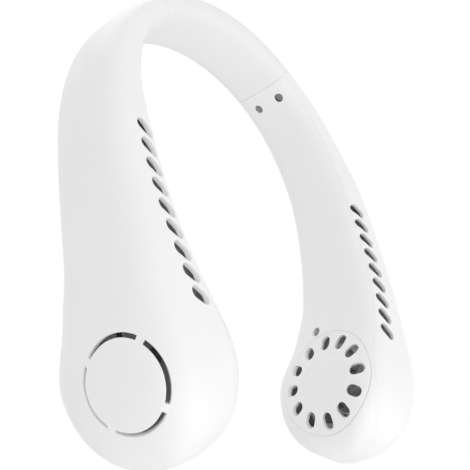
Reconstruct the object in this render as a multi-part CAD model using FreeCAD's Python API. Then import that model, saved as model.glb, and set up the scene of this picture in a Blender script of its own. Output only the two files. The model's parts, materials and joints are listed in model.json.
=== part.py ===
"""Neck fan: two hollow arms with a fan in each pod, joined by a soft band behind the neck.

Frame: X runs from the wearer's right to left, Y along the neck (air slots face -Y), Z up to the crown.
The origin is the middle of the band's inner face, where the band rests on the neck.
Lengths are millimetres, angles are degrees.
"""
import FreeCAD
import Part

import math
import os

from FreeCAD import Vector

# Centre line of one half, from the crown down to the pod: three tangent arcs
ARCH_RADIUS = 71.0
ARCH_ANGLE = 65.0
SHOULDER_RADIUS = 100.0
SHOULDER_ANGLE = 22.0
ARM_RADIUS = 264.0
ARM_ANGLE = 19.0

# Band and arm sections: distance along the centre line, thickness, width, sideways offset
SEAM_ANGLE = 36.0
BAND_THICKNESS = 12.2
BAND_WIDTH = 30.9
ELBOW_AT = 82.0
ELBOW_THICKNESS = 16.8
ELBOW_WIDTH = 31.8
ELBOW_ASIDE = -1.3
MID_ARM_AT = 124.0
MID_ARM_THICKNESS = 23.8
MID_ARM_WIDTH = 35.3
MID_ARM_ASIDE = -4.2
LOWER_ARM_AT = 165.0
LOWER_ARM_THICKNESS = 26.8
LOWER_ARM_WIDTH = 42.4
LOWER_ARM_ASIDE = -5.0
POD_NECK_AT = 187.0
POD_NECK_THICKNESS = 32.4
POD_NECK_WIDTH = 49.7
POD_NECK_ASIDE = -3.2
POD_AT = 210.0
POD_THICKNESS = 39.6
POD_WIDTH = 58.8
POD_END_REACH = 33.0
POD_TWIST = -4.7
SECTION_POWER = 3.2
POD_INNER_POWER = 5.0
OUTER_END_POWER = 2.3
INNER_END_POWER = 2.8

# Shell mouldings
WALL = 1.8
END_WALL = 2.4
LID_DEPTH = 3.0
POD_LID_DEPTH = 4.4
PARTING_GAP = 0.2
SECTION_POINTS = 24

# Air slots on the -Y edge of each arm
SLOT_COUNT = 9
SLOT_FIRST_AT = 127.0
SLOT_PITCH = 8.2
SLOT_LENGTH = 9.6
SLOT_WIDTH = 4.5
SLOT_SLANT = 57.0
SLOT_SHARE = -0.30

# Fan axis in the pod
FAN_BELOW_POD = 2.8
FAN_ASIDE = -4.4
FAN_TILT = -6.3

# Outer air intake: a ring slot round a flush disc, crossed by bridges
RING_OUTER_RADIUS = 16.6
RING_INNER_RADIUS = 15.0
BRIDGE_COUNT = 4
BRIDGE_WIDTH = 3.0
BRIDGE_PHASE = 43.0

# Inner vent cover
COVER_RADIUS = 23.4
COVER_GAP = 0.3
COVER_HOLE_COUNT = 12
COVER_HOLE_CIRCLE = 18.3
COVER_HOLE_LENGTH = 7.0
COVER_HOLE_WIDTH = 4.9
LEDGE_WIDTH = 2.2
LEDGE_THICKNESS = 1.4
LEDGE_GAP = 0.05

# Case screws: two at the seam, one above the vent cover
SCREW_FROM_SEAM = 8.4
SCREW_ASIDE = 6.7
LOW_SCREW_ABOVE_FAN = 27.8
LOW_SCREW_ASIDE = 8.5
SCREW_HEAD_RADIUS = 1.9
SCREW_HEAD_HEIGHT = 1.3
SCREW_SHANK_RADIUS = 0.9
SCREW_PLAY = 0.05
SCREW_RECESS_RADIUS = 2.2
SCREW_BOSS_RADIUS = 3.3
SCREW_FLOOR = 1.2
SCREW_BITE = 4.0
POST_RADIUS = 2.3
HEAD_DEPTH = 0.7

# Soft band: tongues held by the screw posts, a spring strip and a cable in channels
TONGUE_LENGTH = 12.0
TONGUE_THICKNESS = 4.6
TONGUE_WIDTH = 22.0
TONGUE_PLAY = 0.3
TONGUE_HOLE_PLAY = 0.05
SEAM_GAP = 0.15
SPRING_WIDTH = 6.0
SPRING_THICKNESS = 0.5
SPRING_INSIDE = 1.3
CABLE_RADIUS = 0.8
CABLE_OUTSIDE = 0.9
CHANNEL_PLAY = 0.05
CABLE_PAST_TONGUE = 2.0

# Motor and impeller, along the fan axis from the pod's middle (+ towards the outer face)
BASE_TOP = 12.4
BASE_THICKNESS = 1.4
BASE_RADIUS = 9.0
EAR_CIRCLE = 11.5
EAR_RADIUS = 2.6
EAR_COUNT = 3
MOTOR_POST_RADIUS = 2.2
MOTOR_SCREW_RADIUS = 0.7
MOTOR_SCREW_HEAD_RADIUS = 1.4
MOTOR_SCREW_HEAD_HEIGHT = 1.0
MOTOR_SCREW_BITE = 3.0
TUBE_RADIUS = 2.5
TUBE_LENGTH = 10.0
SHAFT_RADIUS = 0.75
SHAFT_PLAY = 0.02
PRESS_PLAY = 0.01
BEARING_RADIUS = 1.9
BEARING_LENGTH = 2.4
STATOR_RADIUS = 6.6
STATOR_THICKNESS = 5.0
STATOR_TEETH = 9
STATOR_CORE_RADIUS = 3.6
TOOTH_WIDTH = 1.1
TOOTH_TIP_DEPTH = 0.8
TOOTH_GAP = 0.9
ROTOR_AIR_GAP = 0.35
ROTOR_WALL = 1.1
ROTOR_LENGTH = 7.0
HUB_WALL = 1.2
HUB_FLOOR = 1.6
HUB_NOSE = 4.0
IMPELLER_RADIUS = 19.0
IMPELLER_PLATE = 1.2
BLADE_COUNT = 13
BLADE_THICKNESS = 0.9
BLADE_FRONT = -12.0
BLADE_SWEEP = 48.0
FRONT_RING_WIDTH = 1.8
FRONT_RING_THICKNESS = 1.2
RUNNING_GAP = 0.6

# Battery in the upper arm, on two cradle ribs
BATTERY_AT = 100.0
BATTERY_LENGTH = 44.0
BATTERY_WIDTH = 19.0
BATTERY_THICKNESS = 7.0
BATTERY_CORNER = 1.2
BATTERY_OUTWARD = -1.0
CRADLE_SPREAD = 30.0
CRADLE_THICKNESS = 1.4

# Control board, socket, switch, button and light guide on the +Y edge of the right arm
BOARD_AT = 150.0
BOARD_LENGTH = 48.0
BOARD_WIDTH = 12.0
BOARD_THICKNESS = 1.2
BOARD_OUTWARD = -4.0
BOARD_RIB_THICKNESS = 2.4
BOARD_RIB_GRIP = 1.2
BOARD_PLAY = 0.05
BOARD_RIB_DEPTH = 1.6
BOARD_RIB_SHORT = 4.6
SOCKET_ALONG = -13.0
SOCKET_LENGTH = 9.0
SOCKET_WIDTH = 3.3
SOCKET_HEIGHT = 7.0
SOCKET_WALL = 0.35
SOCKET_PLAY = 0.2
SOCKET_BELOW_SURFACE = 0.3
BUTTON_ALONG = 12.0
BUTTON_LENGTH = 11.0
BUTTON_WIDTH = 5.4
BUTTON_PROUD = 0.8
BUTTON_PLAY = 0.3
BUTTON_FLANGE = 0.9
BUTTON_FLANGE_THICKNESS = 1.0
BUTTON_TRAVEL = 0.5
BUTTON_STOP_GAP = 0.3
STEM_RADIUS = 1.1
STEM_PLAY = 0.05
SWITCH_SIZE = 4.6
SWITCH_HEIGHT = 2.6
SWITCH_FLOOR = 0.6
LIGHT_ALONG = 0.0
LIGHT_RADIUS = 1.1
LIGHT_PLAY = 0.1

# Leads inside the arms, each with a plug at its ends
LEAD_RADIUS = 0.8
PLUG_LENGTH = 5.0
PLUG_WIDTH = 4.0
PLUG_HEIGHT = 2.2
PLUG_GRIP = 0.6
MOTOR_PLUG_UP = 5.0
BOARD_PLUG_OUTWARD = 4.2
TOP_PLUG_ALONG = -19.8
LOW_PLUG_ALONG = 17.5
LEAD_RUN = 7.0
LEAD_END_GAP = 0.1
LEAD_SIDE = 9.8

ACROSS = Vector(0, 1, 0)
SEAM_AT = ARCH_RADIUS * math.radians(SEAM_ANGLE)
CROWN = Vector(0, 0, BAND_THICKNESS / 2)
ARCH_CENTRE = CROWN - Vector(0, 0, ARCH_RADIUS)
STATIONS = (
    (SEAM_AT, BAND_THICKNESS, BAND_WIDTH, 0.0, 0.0),
    (ELBOW_AT, ELBOW_THICKNESS, ELBOW_WIDTH, ELBOW_ASIDE, 0.05),
    (MID_ARM_AT, MID_ARM_THICKNESS, MID_ARM_WIDTH, MID_ARM_ASIDE, 0.25),
    (LOWER_ARM_AT, LOWER_ARM_THICKNESS, LOWER_ARM_WIDTH, LOWER_ARM_ASIDE, 0.6),
    (POD_NECK_AT, POD_NECK_THICKNESS, POD_NECK_WIDTH, POD_NECK_ASIDE, 0.83),
    (POD_AT, POD_THICKNESS, POD_WIDTH, 0.0, 1.0),
)
LOFT_STEPS = 13
END_ANGLES = (22.0, 42.0, 58.0, 70.0, 79.0, 85.5, 88.5)


def station_value(column, distance):
    """Smooth monotone curve through one column of the stations, level at both ends."""
    at = [row[0] for row in STATIONS]
    value = [row[column] for row in STATIONS]
    rise = [(value[i + 1] - value[i]) / (at[i + 1] - at[i]) for i in range(len(at) - 1)]
    slope = [0.0] * len(at)
    for i in range(1, len(at) - 1):
        if rise[i - 1] * rise[i] > 0:
            slope[i] = 2 * rise[i - 1] * rise[i] / (rise[i - 1] + rise[i])
    distance = min(max(distance, at[0]), at[-1])
    i = max(k for k in range(len(at) - 1) if at[k] <= distance)
    step = at[i + 1] - at[i]
    t = (distance - at[i]) / step
    return (
        value[i] * (1 + 2 * t) * (1 - t) ** 2
        + slope[i] * step * t * (1 - t) ** 2
        + value[i + 1] * t * t * (3 - 2 * t)
        + slope[i + 1] * step * t * t * (t - 1)
    )


def half_thickness(distance):
    """Half of the arm's thickness, across the arm in the loop's plane."""
    return station_value(1, distance) / 2


def half_width(distance):
    """Half of the arm's width."""
    return station_value(2, distance) / 2


def pod_share(distance):
    """How far the section has gone over from the band's form (0) to the pod's (1)."""
    return station_value(4, distance)


def inner_power(distance):
    """Squareness of the section's inner side."""
    return SECTION_POWER + (POD_INNER_POWER - SECTION_POWER) * pod_share(distance)


def path_frame(distance):
    """Centre of the left half's section, and the directions along, out of and across the arm."""
    point = Vector(CROWN)
    angle = 0.0
    left = distance
    arcs = ((ARCH_RADIUS, ARCH_ANGLE), (SHOULDER_RADIUS, SHOULDER_ANGLE), (ARM_RADIUS, ARM_ANGLE))
    for radius, sweep in arcs:
        turn = min(left / radius, math.radians(sweep))
        after = angle + turn
        dx = radius * (math.sin(after) - math.sin(angle))
        dz = radius * (math.cos(after) - math.cos(angle))
        point += Vector(dx, 0, dz)
        angle = after
        left -= turn * radius
    tangent = Vector(math.cos(angle), 0, -math.sin(angle))
    normal = Vector(math.sin(angle), 0, math.cos(angle))
    twist = math.radians(POD_TWIST * pod_share(distance))
    outward = normal * math.cos(twist) + ACROSS * math.sin(twist)
    across = ACROSS * math.cos(twist) - normal * math.sin(twist)
    return point + tangent * left + ACROSS * station_value(3, distance), tangent, outward, across


def frame_placement(origin, x_axis, z_axis):
    """Placement with its local X and Z along the given directions."""
    y_axis = z_axis.cross(x_axis)
    rows = [(x_axis[i], y_axis[i], z_axis[i], origin[i]) for i in range(3)]
    return FreeCAD.Placement(FreeCAD.Matrix(*rows[0], *rows[1], *rows[2], 0, 0, 0, 1))


def on_arm(shape, distance, outward=0.0, aside=0.0):
    """Moves a shape to the arm: X along the arm, Y across it, Z outward."""
    centre, tangent, out, across = path_frame(distance)
    origin = centre + out * outward + across * aside
    moved = shape.copy()
    moved.Placement = frame_placement(origin, tangent, out).multiply(moved.Placement)
    return moved


def fan_frame():
    """Centre, local X (down the arm) and axis (towards the outer face) of the fan."""
    centre, tangent, out, across = path_frame(POD_AT + FAN_BELOW_POD)
    tilt = math.radians(FAN_TILT)
    return centre + across * FAN_ASIDE, tangent, out * math.cos(tilt) + across * math.sin(tilt)


def on_fan(shape):
    """Moves a shape made round the Z axis to the fan's axis in the left pod."""
    moved = shape.copy()
    moved.Placement = frame_placement(*fan_frame()).multiply(moved.Placement)
    return moved


def mirrored(shape):
    """The same piece on the other arm."""
    return shape.mirror(Vector(0, 0, 0), Vector(1, 0, 0))


def section_points(depth, half_across, power_inside):
    """Points (out, across) round |u|^p + |v|^p = 1, with its own power on the inner side."""
    points = []
    for k in range(SECTION_POINTS):
        turn = math.pi / 2 + 2 * math.pi * k / SECTION_POINTS
        c, s = math.cos(turn), math.sin(turn)
        share = 2 / (SECTION_POWER if c > 0 else power_inside)
        out = depth * math.copysign(abs(c) ** share, c)
        points.append((out, half_across * math.copysign(abs(s) ** share, s)))
    return points


def section_parameters():
    """Running chord lengths round the pod's section, shared by every section so that lofts stay even."""
    points = section_points(1.0, 1.0, POD_INNER_POWER)
    parameters = [0.0]
    for first, second in zip(points, points[1:] + points[:1]):
        parameters.append(parameters[-1] + math.dist(first, second))
    return parameters


def oval_wire(centre, out, across, depth, half_across, power_inside):
    """Closed smooth curve of a section in the plane of two directions."""
    points = [centre + out * u + across * v for u, v in section_points(depth, half_across, power_inside)]
    curve = Part.BSplineCurve()
    curve.interpolate(Points=points, PeriodicFlag=True, Parameters=section_parameters())
    return Part.Wire([curve.toShape()])


def arm_section(distance, inset):
    """Section of the arm between the seam and the pod's middle."""
    centre, _, out, across = path_frame(distance)
    depth = half_thickness(distance) - inset
    return oval_wire(centre, out, across, depth, half_width(distance) - inset, inner_power(distance))


def end_fall(share, power):
    """How far a half thickness has fallen at a share of the way from the pod's middle to its tip."""
    return (1 - share ** power) ** (1 / power)


def pod_end_section(angle, inset):
    """Section of the pod's rounded end, at an angle from its middle (0) to its tip (90)."""
    share = math.sin(math.radians(angle))
    centre, _, out, across = path_frame(POD_AT + (POD_END_REACH - inset) * share)
    outside = (POD_THICKNESS / 2 - inset) * end_fall(share, OUTER_END_POWER)
    inside = (POD_THICKNESS / 2 - inset) * end_fall(share, INNER_END_POWER)
    middle = (outside - inside) / 2
    half_across = (POD_WIDTH / 2 - inset) * math.cos(math.radians(angle))
    return oval_wire(centre + out * middle, out, across, (outside + inside) / 2, half_across, POD_INNER_POWER)


def arm_solid(start, inset):
    """Solid of one arm from a start distance to the pod's tip, with every wall moved in by the inset."""
    step = (POD_AT - start) / LOFT_STEPS
    wires = [arm_section(start + step * k, inset) for k in range(LOFT_STEPS + 1)]
    wires += [pod_end_section(angle, inset) for angle in END_ANGLES]
    return Part.makeLoft(wires, True, False)


def outer_side(gap):
    """Space on the outer side of the parting surface, moved outward by the gap.

    The parting follows the inner corner of the arm and sweeps to the middle of the pod's tip.
    """
    step = (POD_AT - SEAM_AT) / LOFT_STEPS
    past_pod = [POD_END_REACH * share for share in (0.25, 0.5, 0.75, 1.0, 1.25)]
    distances = [SEAM_AT + step * (k - 1) for k in range(LOFT_STEPS + 2)] + [POD_AT + d for d in past_pod]
    wires = []
    for distance in distances:
        centre, _, out, across = path_frame(distance)
        share = max(distance - POD_AT, 0) / POD_END_REACH
        depth = LID_DEPTH + (POD_LID_DEPTH - LID_DEPTH) * pod_share(distance)
        low = centre + out * (gap - (half_thickness(distance) - depth) * (1 - share * share))
        high = centre + out * POD_WIDTH
        aside = across * POD_WIDTH
        corners = [low - aside, low + aside, high + aside, high - aside]
        wires.append(Part.makePolygon(corners + corners[:1]))
    return Part.makeLoft(wires, True, False)


def oval_prism(length, width, depth):
    """Prism with a round-ended slot outline, centred on Z, its length along X."""
    radius = width / 2
    run = length / 2 - radius
    edges = [
        Part.LineSegment(Vector(-run, -radius, 0), Vector(run, -radius, 0)).toShape(),
        Part.Arc(Vector(run, -radius, 0), Vector(run + radius, 0, 0), Vector(run, radius, 0)).toShape(),
        Part.LineSegment(Vector(run, radius, 0), Vector(-run, radius, 0)).toShape(),
        Part.Arc(Vector(-run, radius, 0), Vector(-run - radius, 0, 0), Vector(-run, -radius, 0)).toShape(),
    ]
    return Part.Face(Part.Wire(edges)).extrude(Vector(0, 0, depth))


def cylinder(radius, low, high, x=0.0, y=0.0):
    """Round bar along Z between two heights."""
    return Part.makeCylinder(radius, high - low, Vector(x, y, low))


def tube(outer, inner, low, high, x=0.0, y=0.0):
    """Round tube along Z between two heights."""
    return cylinder(outer, low, high, x, y).cut(cylinder(inner, low, high, x, y))


def block(length, width, height):
    """Box centred on the origin."""
    return Part.makeBox(length, width, height, Vector(-length / 2, -width / 2, -height / 2))


def around_z(shape, angle):
    """Copy of a shape turned about Z."""
    turned = shape.copy()
    turned.rotate(Vector(0, 0, 0), Vector(0, 0, 1), angle)
    return turned


def fused(shapes):
    """One shape from several."""
    return shapes[0].multiFuse(shapes[1:]) if len(shapes) > 1 else shapes[0]


def slot_tools(slant):
    """Cutters for the row of slanted air slots through the -Y edge."""
    tools = []
    for k in range(SLOT_COUNT):
        distance = SLOT_FIRST_AT + SLOT_PITCH * k
        tool = oval_prism(SLOT_LENGTH, SLOT_WIDTH, POD_WIDTH)
        tool.rotate(Vector(0, 0, 0), Vector(0, 0, 1), slant)
        tool.rotate(Vector(0, 0, 0), Vector(1, 0, 0), 90)
        tools.append(on_arm(tool, distance, half_thickness(distance) * SLOT_SHARE))
    return tools


def ring_slots():
    """Cutter for the ring slot of the outer intake, with its bridges left standing."""
    ring = tube(RING_OUTER_RADIUS, RING_INNER_RADIUS, 0, POD_THICKNESS)
    bridge = block(2 * RING_OUTER_RADIUS, BRIDGE_WIDTH, 2 * POD_THICKNESS)
    bridge.translate(Vector(RING_OUTER_RADIUS, 0, 0))
    bridges = [around_z(bridge, BRIDGE_PHASE + 360 / BRIDGE_COUNT * k) for k in range(BRIDGE_COUNT)]
    return on_fan(ring.cut(bridges))


def cover_holes():
    """Cutters for the ring of oval holes in the vent cover."""
    hole = oval_prism(COVER_HOLE_LENGTH, COVER_HOLE_WIDTH, POD_THICKNESS)
    hole.translate(Vector(COVER_HOLE_CIRCLE, 0, -POD_THICKNESS))
    return [on_fan(around_z(hole, 360 / COVER_HOLE_COUNT * k)) for k in range(COVER_HOLE_COUNT)]


def screw_places():
    """Distance along the arm and sideways offset from its middle, for the case screws of one arm."""
    low_at = POD_AT + FAN_BELOW_POD - LOW_SCREW_ABOVE_FAN
    low_aside = FAN_ASIDE + LOW_SCREW_ASIDE - station_value(3, low_at)
    seam_at = SEAM_AT + SCREW_FROM_SEAM
    return ((seam_at, SCREW_ASIDE), (seam_at, -SCREW_ASIDE), (low_at, low_aside))


def head_seat(distance):
    """Height of a screw head's seat above the arm's middle: on the floor of its recess."""
    return -half_thickness(distance) + WALL + HEAD_DEPTH


def mouth_of_band():
    """Opening in the arm's end wall for the band's tongue."""
    return tongue(TONGUE_PLAY, SEAM_AT - 1.0, SEAM_AT + END_WALL + 1.0)


def arch_sweep(outline, start_angle, sweep):
    """Revolves an outline at the crown about the arch's centre."""
    begun = outline.copy()
    begun.rotate(ARCH_CENTRE, ACROSS, start_angle)
    return begun.revolve(ARCH_CENTRE, ACROSS, sweep)


def crown_rectangle(width, low, high):
    """Face across the band at the crown, between two heights from its centre line."""
    corners = [
        CROWN + Vector(0, -width / 2, low),
        CROWN + Vector(0, width / 2, low),
        CROWN + Vector(0, width / 2, high),
        CROWN + Vector(0, -width / 2, high),
    ]
    return Part.Face(Part.makePolygon(corners + corners[:1]))


def crown_circle(radius, height):
    """Round face across the band at the crown."""
    circle = Part.makeCircle(radius, CROWN + Vector(0, 0, height), Vector(1, 0, 0))
    return Part.Face(Part.Wire([circle]))


def tongue(play, start, end):
    """Flat tongue that follows the arch between two distances on the left half."""
    half = TONGUE_THICKNESS / 2 + play
    outline = crown_rectangle(TONGUE_WIDTH + 2 * play, -half, half)
    start_angle = math.degrees(start / ARCH_RADIUS)
    return arch_sweep(outline, start_angle, math.degrees((end - start) / ARCH_RADIUS))


def band_parts():
    """Soft band with its tongues, the spring strip and the cable through it."""
    half = BAND_THICKNESS / 2
    outline = Part.Face(oval_wire(CROWN, Vector(0, 0, 1), ACROSS, half, BAND_WIDTH / 2, SECTION_POWER))
    end_angle = SEAM_ANGLE - math.degrees(SEAM_GAP / ARCH_RADIUS)
    body = arch_sweep(outline, -end_angle, 2 * end_angle)
    end = SEAM_AT + TONGUE_LENGTH
    left_tongue = tongue(0, SEAM_AT - 2 * SEAM_GAP, end)
    holes = []
    for distance, aside in screw_places()[:2]:
        holes.append(on_arm(cylinder(POST_RADIUS + TONGUE_HOLE_PLAY, -half, half), distance, 0, aside))
    left_tongue = left_tongue.cut(holes)
    body = fused([body, left_tongue, mirrored(left_tongue)])

    tongue_angle = math.degrees(end / ARCH_RADIUS)
    strip_low = -SPRING_INSIDE - SPRING_THICKNESS / 2
    strip_high = -SPRING_INSIDE + SPRING_THICKNESS / 2
    strip_face = crown_rectangle(SPRING_WIDTH, strip_low, strip_high)
    strip_slot_face = crown_rectangle(
        SPRING_WIDTH + 2 * CHANNEL_PLAY, strip_low - CHANNEL_PLAY, strip_high + CHANNEL_PLAY
    )
    strip = arch_sweep(strip_face, -tongue_angle, 2 * tongue_angle)
    strip_slot = arch_sweep(strip_slot_face, -tongue_angle, 2 * tongue_angle)
    cable_angle = math.degrees((end + CABLE_PAST_TONGUE) / ARCH_RADIUS)
    cable = arch_sweep(crown_circle(CABLE_RADIUS, CABLE_OUTSIDE), -cable_angle, 2 * cable_angle)
    cable_hole_face = crown_circle(CABLE_RADIUS + CHANNEL_PLAY, CABLE_OUTSIDE)
    cable_hole = arch_sweep(cable_hole_face, -cable_angle, 2 * cable_angle)
    return {"neck_band": body.cut([strip_slot, cable_hole]), "band_spring": strip, "band_cable": cable}


def post_to_shell(post, keep):
    """Trims a post so that it ends inside the shell's wall."""
    return post.common(keep)


def motor_ear_angles():
    """Directions of the motor's screw ears."""
    return [360 / EAR_COUNT * k for k in range(EAR_COUNT)]


def vent_space():
    """Round space that the vent cover stands in."""
    return on_fan(cylinder(COVER_RADIUS + COVER_GAP, -POD_THICKNESS, -POD_THICKNESS / 4))


def outer_shell(hollow, keep, slant):
    """Deep outer shell: intake ring, air slots, screw posts and motor posts."""
    openings = [ring_slots(), mouth_of_band(), vent_space()] + slot_tools(slant)
    shell = hollow.common(outer_side(PARTING_GAP / 2)).cut(openings)
    posts, pilots = [], []
    for distance, aside in screw_places():
        seat = head_seat(distance) + SCREW_FLOOR
        posts.append(on_arm(cylinder(POST_RADIUS, seat, POD_THICKNESS), distance, 0, aside))
        pilot = cylinder(SCREW_SHANK_RADIUS + SCREW_PLAY, seat, seat + SCREW_BITE)
        pilots.append(on_arm(pilot, distance, 0, aside))
    for angle in motor_ear_angles():
        post = around_z(cylinder(MOTOR_POST_RADIUS, BASE_TOP, POD_THICKNESS, EAR_CIRCLE), angle)
        posts.append(on_fan(post))
        pilot = cylinder(MOTOR_SCREW_RADIUS + SCREW_PLAY, BASE_TOP, BASE_TOP + MOTOR_SCREW_BITE, EAR_CIRCLE)
        pilots.append(on_fan(around_z(pilot, angle)))
    posts = [post_to_shell(post, keep) for post in posts]
    return fused([shell] + posts).cut(pilots)


def battery_seat():
    """Height of the battery's inner face above the arm's middle at the battery's centre."""
    return BATTERY_OUTWARD - BATTERY_THICKNESS / 2


def cradle_ribs(keep):
    """Two ribs across the inner shell that the battery lies on."""
    ribs = []
    for side in (-1, 1):
        rib = block(CRADLE_THICKNESS, BATTERY_WIDTH, POD_THICKNESS)
        rib.translate(Vector(side * CRADLE_SPREAD / 2, 0, battery_seat() - POD_THICKNESS / 2))
        ribs.append(on_arm(rib, BATTERY_AT).common(keep))
    return ribs


def inner_shell(hollow, keep):
    """Shallow inner shell: vent seat, screw recesses and battery cradle."""
    above = outer_side(-PARTING_GAP / 2)
    vent_radius = COVER_RADIUS + COVER_GAP
    shell = hollow.cut([above, vent_space()])
    under_ledge = arm_solid(SEAM_AT + END_WALL, WALL + LEDGE_THICKNESS)
    ledge = arm_solid(SEAM_AT + END_WALL, WALL + LEDGE_GAP).cut([under_ledge, above])
    ledge_edge = vent_radius + LEDGE_WIDTH
    ledge = ledge.common(on_fan(tube(ledge_edge, COVER_RADIUS - LEDGE_WIDTH, -POD_THICKNESS, 0)))
    collar = keep.cut([under_ledge, above]).common(on_fan(tube(ledge_edge, vent_radius, -POD_THICKNESS, 0)))
    bosses, recesses = [], []
    for distance, aside in screw_places():
        seat = head_seat(distance)
        boss = cylinder(SCREW_BOSS_RADIUS, -POD_THICKNESS, seat + SCREW_FLOOR)
        bosses.append(on_arm(boss, distance, 0, aside).common(keep))
        recesses.append(on_arm(cylinder(SCREW_RECESS_RADIUS, -POD_THICKNESS, seat), distance, 0, aside))
        hole = cylinder(SCREW_SHANK_RADIUS + SCREW_PLAY, seat, seat + SCREW_FLOOR)
        recesses.append(on_arm(hole, distance, 0, aside))
    return fused([shell, collar, ledge] + bosses + cradle_ribs(keep)).cut(recesses)


def vent_cover(hollow):
    """Round cover that continues the pod's inner face, with its ring of holes."""
    disc = on_fan(cylinder(COVER_RADIUS, -POD_THICKNESS, -POD_THICKNESS / 4))
    return hollow.common(disc).cut(cover_holes())


def screw(head_radius, head_height, shank_radius, shank_length):
    """Pan-head screw on Z: the head below Z = 0, the shank above."""
    head = cylinder(head_radius, -head_height, 0)
    return head.fuse(cylinder(shank_radius, 0, shank_length))


def case_screws():
    """Screws of one arm, seated on their recess floors."""
    solids = []
    for distance, aside in screw_places():
        length = SCREW_FLOOR + SCREW_BITE
        one = screw(SCREW_HEAD_RADIUS, SCREW_HEAD_HEIGHT, SCREW_SHANK_RADIUS, length)
        solids.append(on_arm(one, distance, head_seat(distance), aside))
    return Part.makeCompound(solids)


def motor_screws():
    """Screws through the motor base's ears into the posts."""
    solids = []
    for angle in motor_ear_angles():
        length = BASE_THICKNESS + MOTOR_SCREW_BITE
        one = screw(MOTOR_SCREW_HEAD_RADIUS, MOTOR_SCREW_HEAD_HEIGHT, MOTOR_SCREW_RADIUS, length)
        one.translate(Vector(EAR_CIRCLE, 0, BASE_TOP - BASE_THICKNESS))
        solids.append(on_fan(around_z(one, angle)))
    return Part.makeCompound(solids)


def motor_base():
    """Base plate with screw ears and the bearing tube."""
    low = BASE_TOP - BASE_THICKNESS
    ears, holes = [], []
    for angle in motor_ear_angles():
        ear = cylinder(EAR_RADIUS, low, BASE_TOP, EAR_CIRCLE)
        web = block(EAR_CIRCLE, 2 * EAR_RADIUS, BASE_THICKNESS)
        web.translate(Vector(EAR_CIRCLE / 2, 0, low + BASE_THICKNESS / 2))
        ears += [around_z(ear, angle), around_z(web, angle)]
        hole = cylinder(MOTOR_SCREW_RADIUS + SCREW_PLAY, low, BASE_TOP, EAR_CIRCLE)
        holes.append(around_z(hole, angle))
    bearing_tube = cylinder(TUBE_RADIUS, low - TUBE_LENGTH, low)
    plate = fused([cylinder(BASE_RADIUS, low, BASE_TOP), bearing_tube] + ears)
    bore = cylinder(BEARING_RADIUS, low - TUBE_LENGTH, BASE_TOP)
    return on_fan(plate.cut(holes + [bore]))


def motor_bearings():
    """Two plain bearings in the ends of the tube."""
    low = BASE_TOP - BASE_THICKNESS - TUBE_LENGTH
    bore = SHAFT_RADIUS + SHAFT_PLAY
    ends = (low, BASE_TOP - BEARING_LENGTH)
    rings = [tube(BEARING_RADIUS - PRESS_PLAY, bore, start, start + BEARING_LENGTH) for start in ends]
    return on_fan(Part.makeCompound(rings))


def stator_span():
    """Lowest and highest face of the stator on the bearing tube."""
    high = BASE_TOP - BASE_THICKNESS - RUNNING_GAP
    return high - STATOR_THICKNESS, high


def stator():
    """Stator core: a ring on the bearing tube with T-shaped teeth."""
    low, high = stator_span()
    core = cylinder(STATOR_CORE_RADIUS, low, high)
    tip_ring = tube(STATOR_RADIUS, STATOR_RADIUS - TOOTH_TIP_DEPTH, low, high)
    teeth, gaps = [], []
    for k in range(STATOR_TEETH):
        angle = 360 / STATOR_TEETH * k
        tooth = block(STATOR_RADIUS - TOOTH_TIP_DEPTH / 2, TOOTH_WIDTH, STATOR_THICKNESS)
        tooth.translate(Vector(tooth.BoundBox.XLength / 2, 0, (low + high) / 2))
        teeth.append(around_z(tooth, angle))
        gap = block(STATOR_RADIUS, TOOTH_GAP, STATOR_THICKNESS)
        gap.translate(Vector(STATOR_RADIUS, 0, (low + high) / 2))
        gaps.append(around_z(gap, angle + 180 / STATOR_TEETH))
    shape = fused([core, tip_ring.cut(gaps)] + teeth).cut(cylinder(TUBE_RADIUS + PRESS_PLAY, low, high))
    return on_fan(shape)


def rotor_radii():
    """Inner and outer radius of the rotor ring."""
    inner = STATOR_RADIUS + ROTOR_AIR_GAP
    return inner, inner + ROTOR_WALL


def rotor_span():
    """Lowest and highest face of the rotor ring, which stays clear of the motor screws' heads."""
    high = BASE_TOP - BASE_THICKNESS - MOTOR_SCREW_HEAD_HEIGHT - RUNNING_GAP
    return high - ROTOR_LENGTH, high


def rotor_ring():
    """Magnet ring pressed into the impeller's hub."""
    inner, outer = rotor_radii()
    return on_fan(tube(outer - PRESS_PLAY, inner, *rotor_span()))


def hub_floor():
    """Inner and front face of the hub's floor, under the bearing tube's end."""
    inside = BASE_TOP - BASE_THICKNESS - TUBE_LENGTH - RUNNING_GAP
    return inside, inside - HUB_FLOOR


def shaft():
    """Shaft from the hub's floor through both bearings."""
    inside, front = hub_floor()
    return on_fan(cylinder(SHAFT_RADIUS, front, BASE_TOP))


def blade():
    """One backward-curved blade from the hub to the rim, as a thin arc-sided prism."""
    _, rotor_outer = rotor_radii()
    start = rotor_outer + HUB_WALL / 2
    end = IMPELLER_RADIUS
    sweep = math.radians(BLADE_SWEEP)
    _, high = rotor_span()
    half = BLADE_THICKNESS / 2

    def point(share, aside):
        radius = start + (end - start) * share
        angle = -sweep * share * share
        along = Vector(math.cos(angle), math.sin(angle), 0)
        square = Vector(-math.sin(angle), math.cos(angle), 0)
        return along * radius + square * aside + Vector(0, 0, BLADE_FRONT)

    lower = [point(share, -half) for share in (0, 0.5, 1)]
    upper = [point(share, half) for share in (1, 0.5, 0)]
    edges = [
        Part.Arc(*lower).toShape(),
        Part.LineSegment(lower[2], upper[0]).toShape(),
        Part.Arc(*upper).toShape(),
        Part.LineSegment(upper[2], lower[0]).toShape(),
    ]
    return Part.Face(Part.Wire(edges)).extrude(Vector(0, 0, high - BLADE_FRONT))


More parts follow.
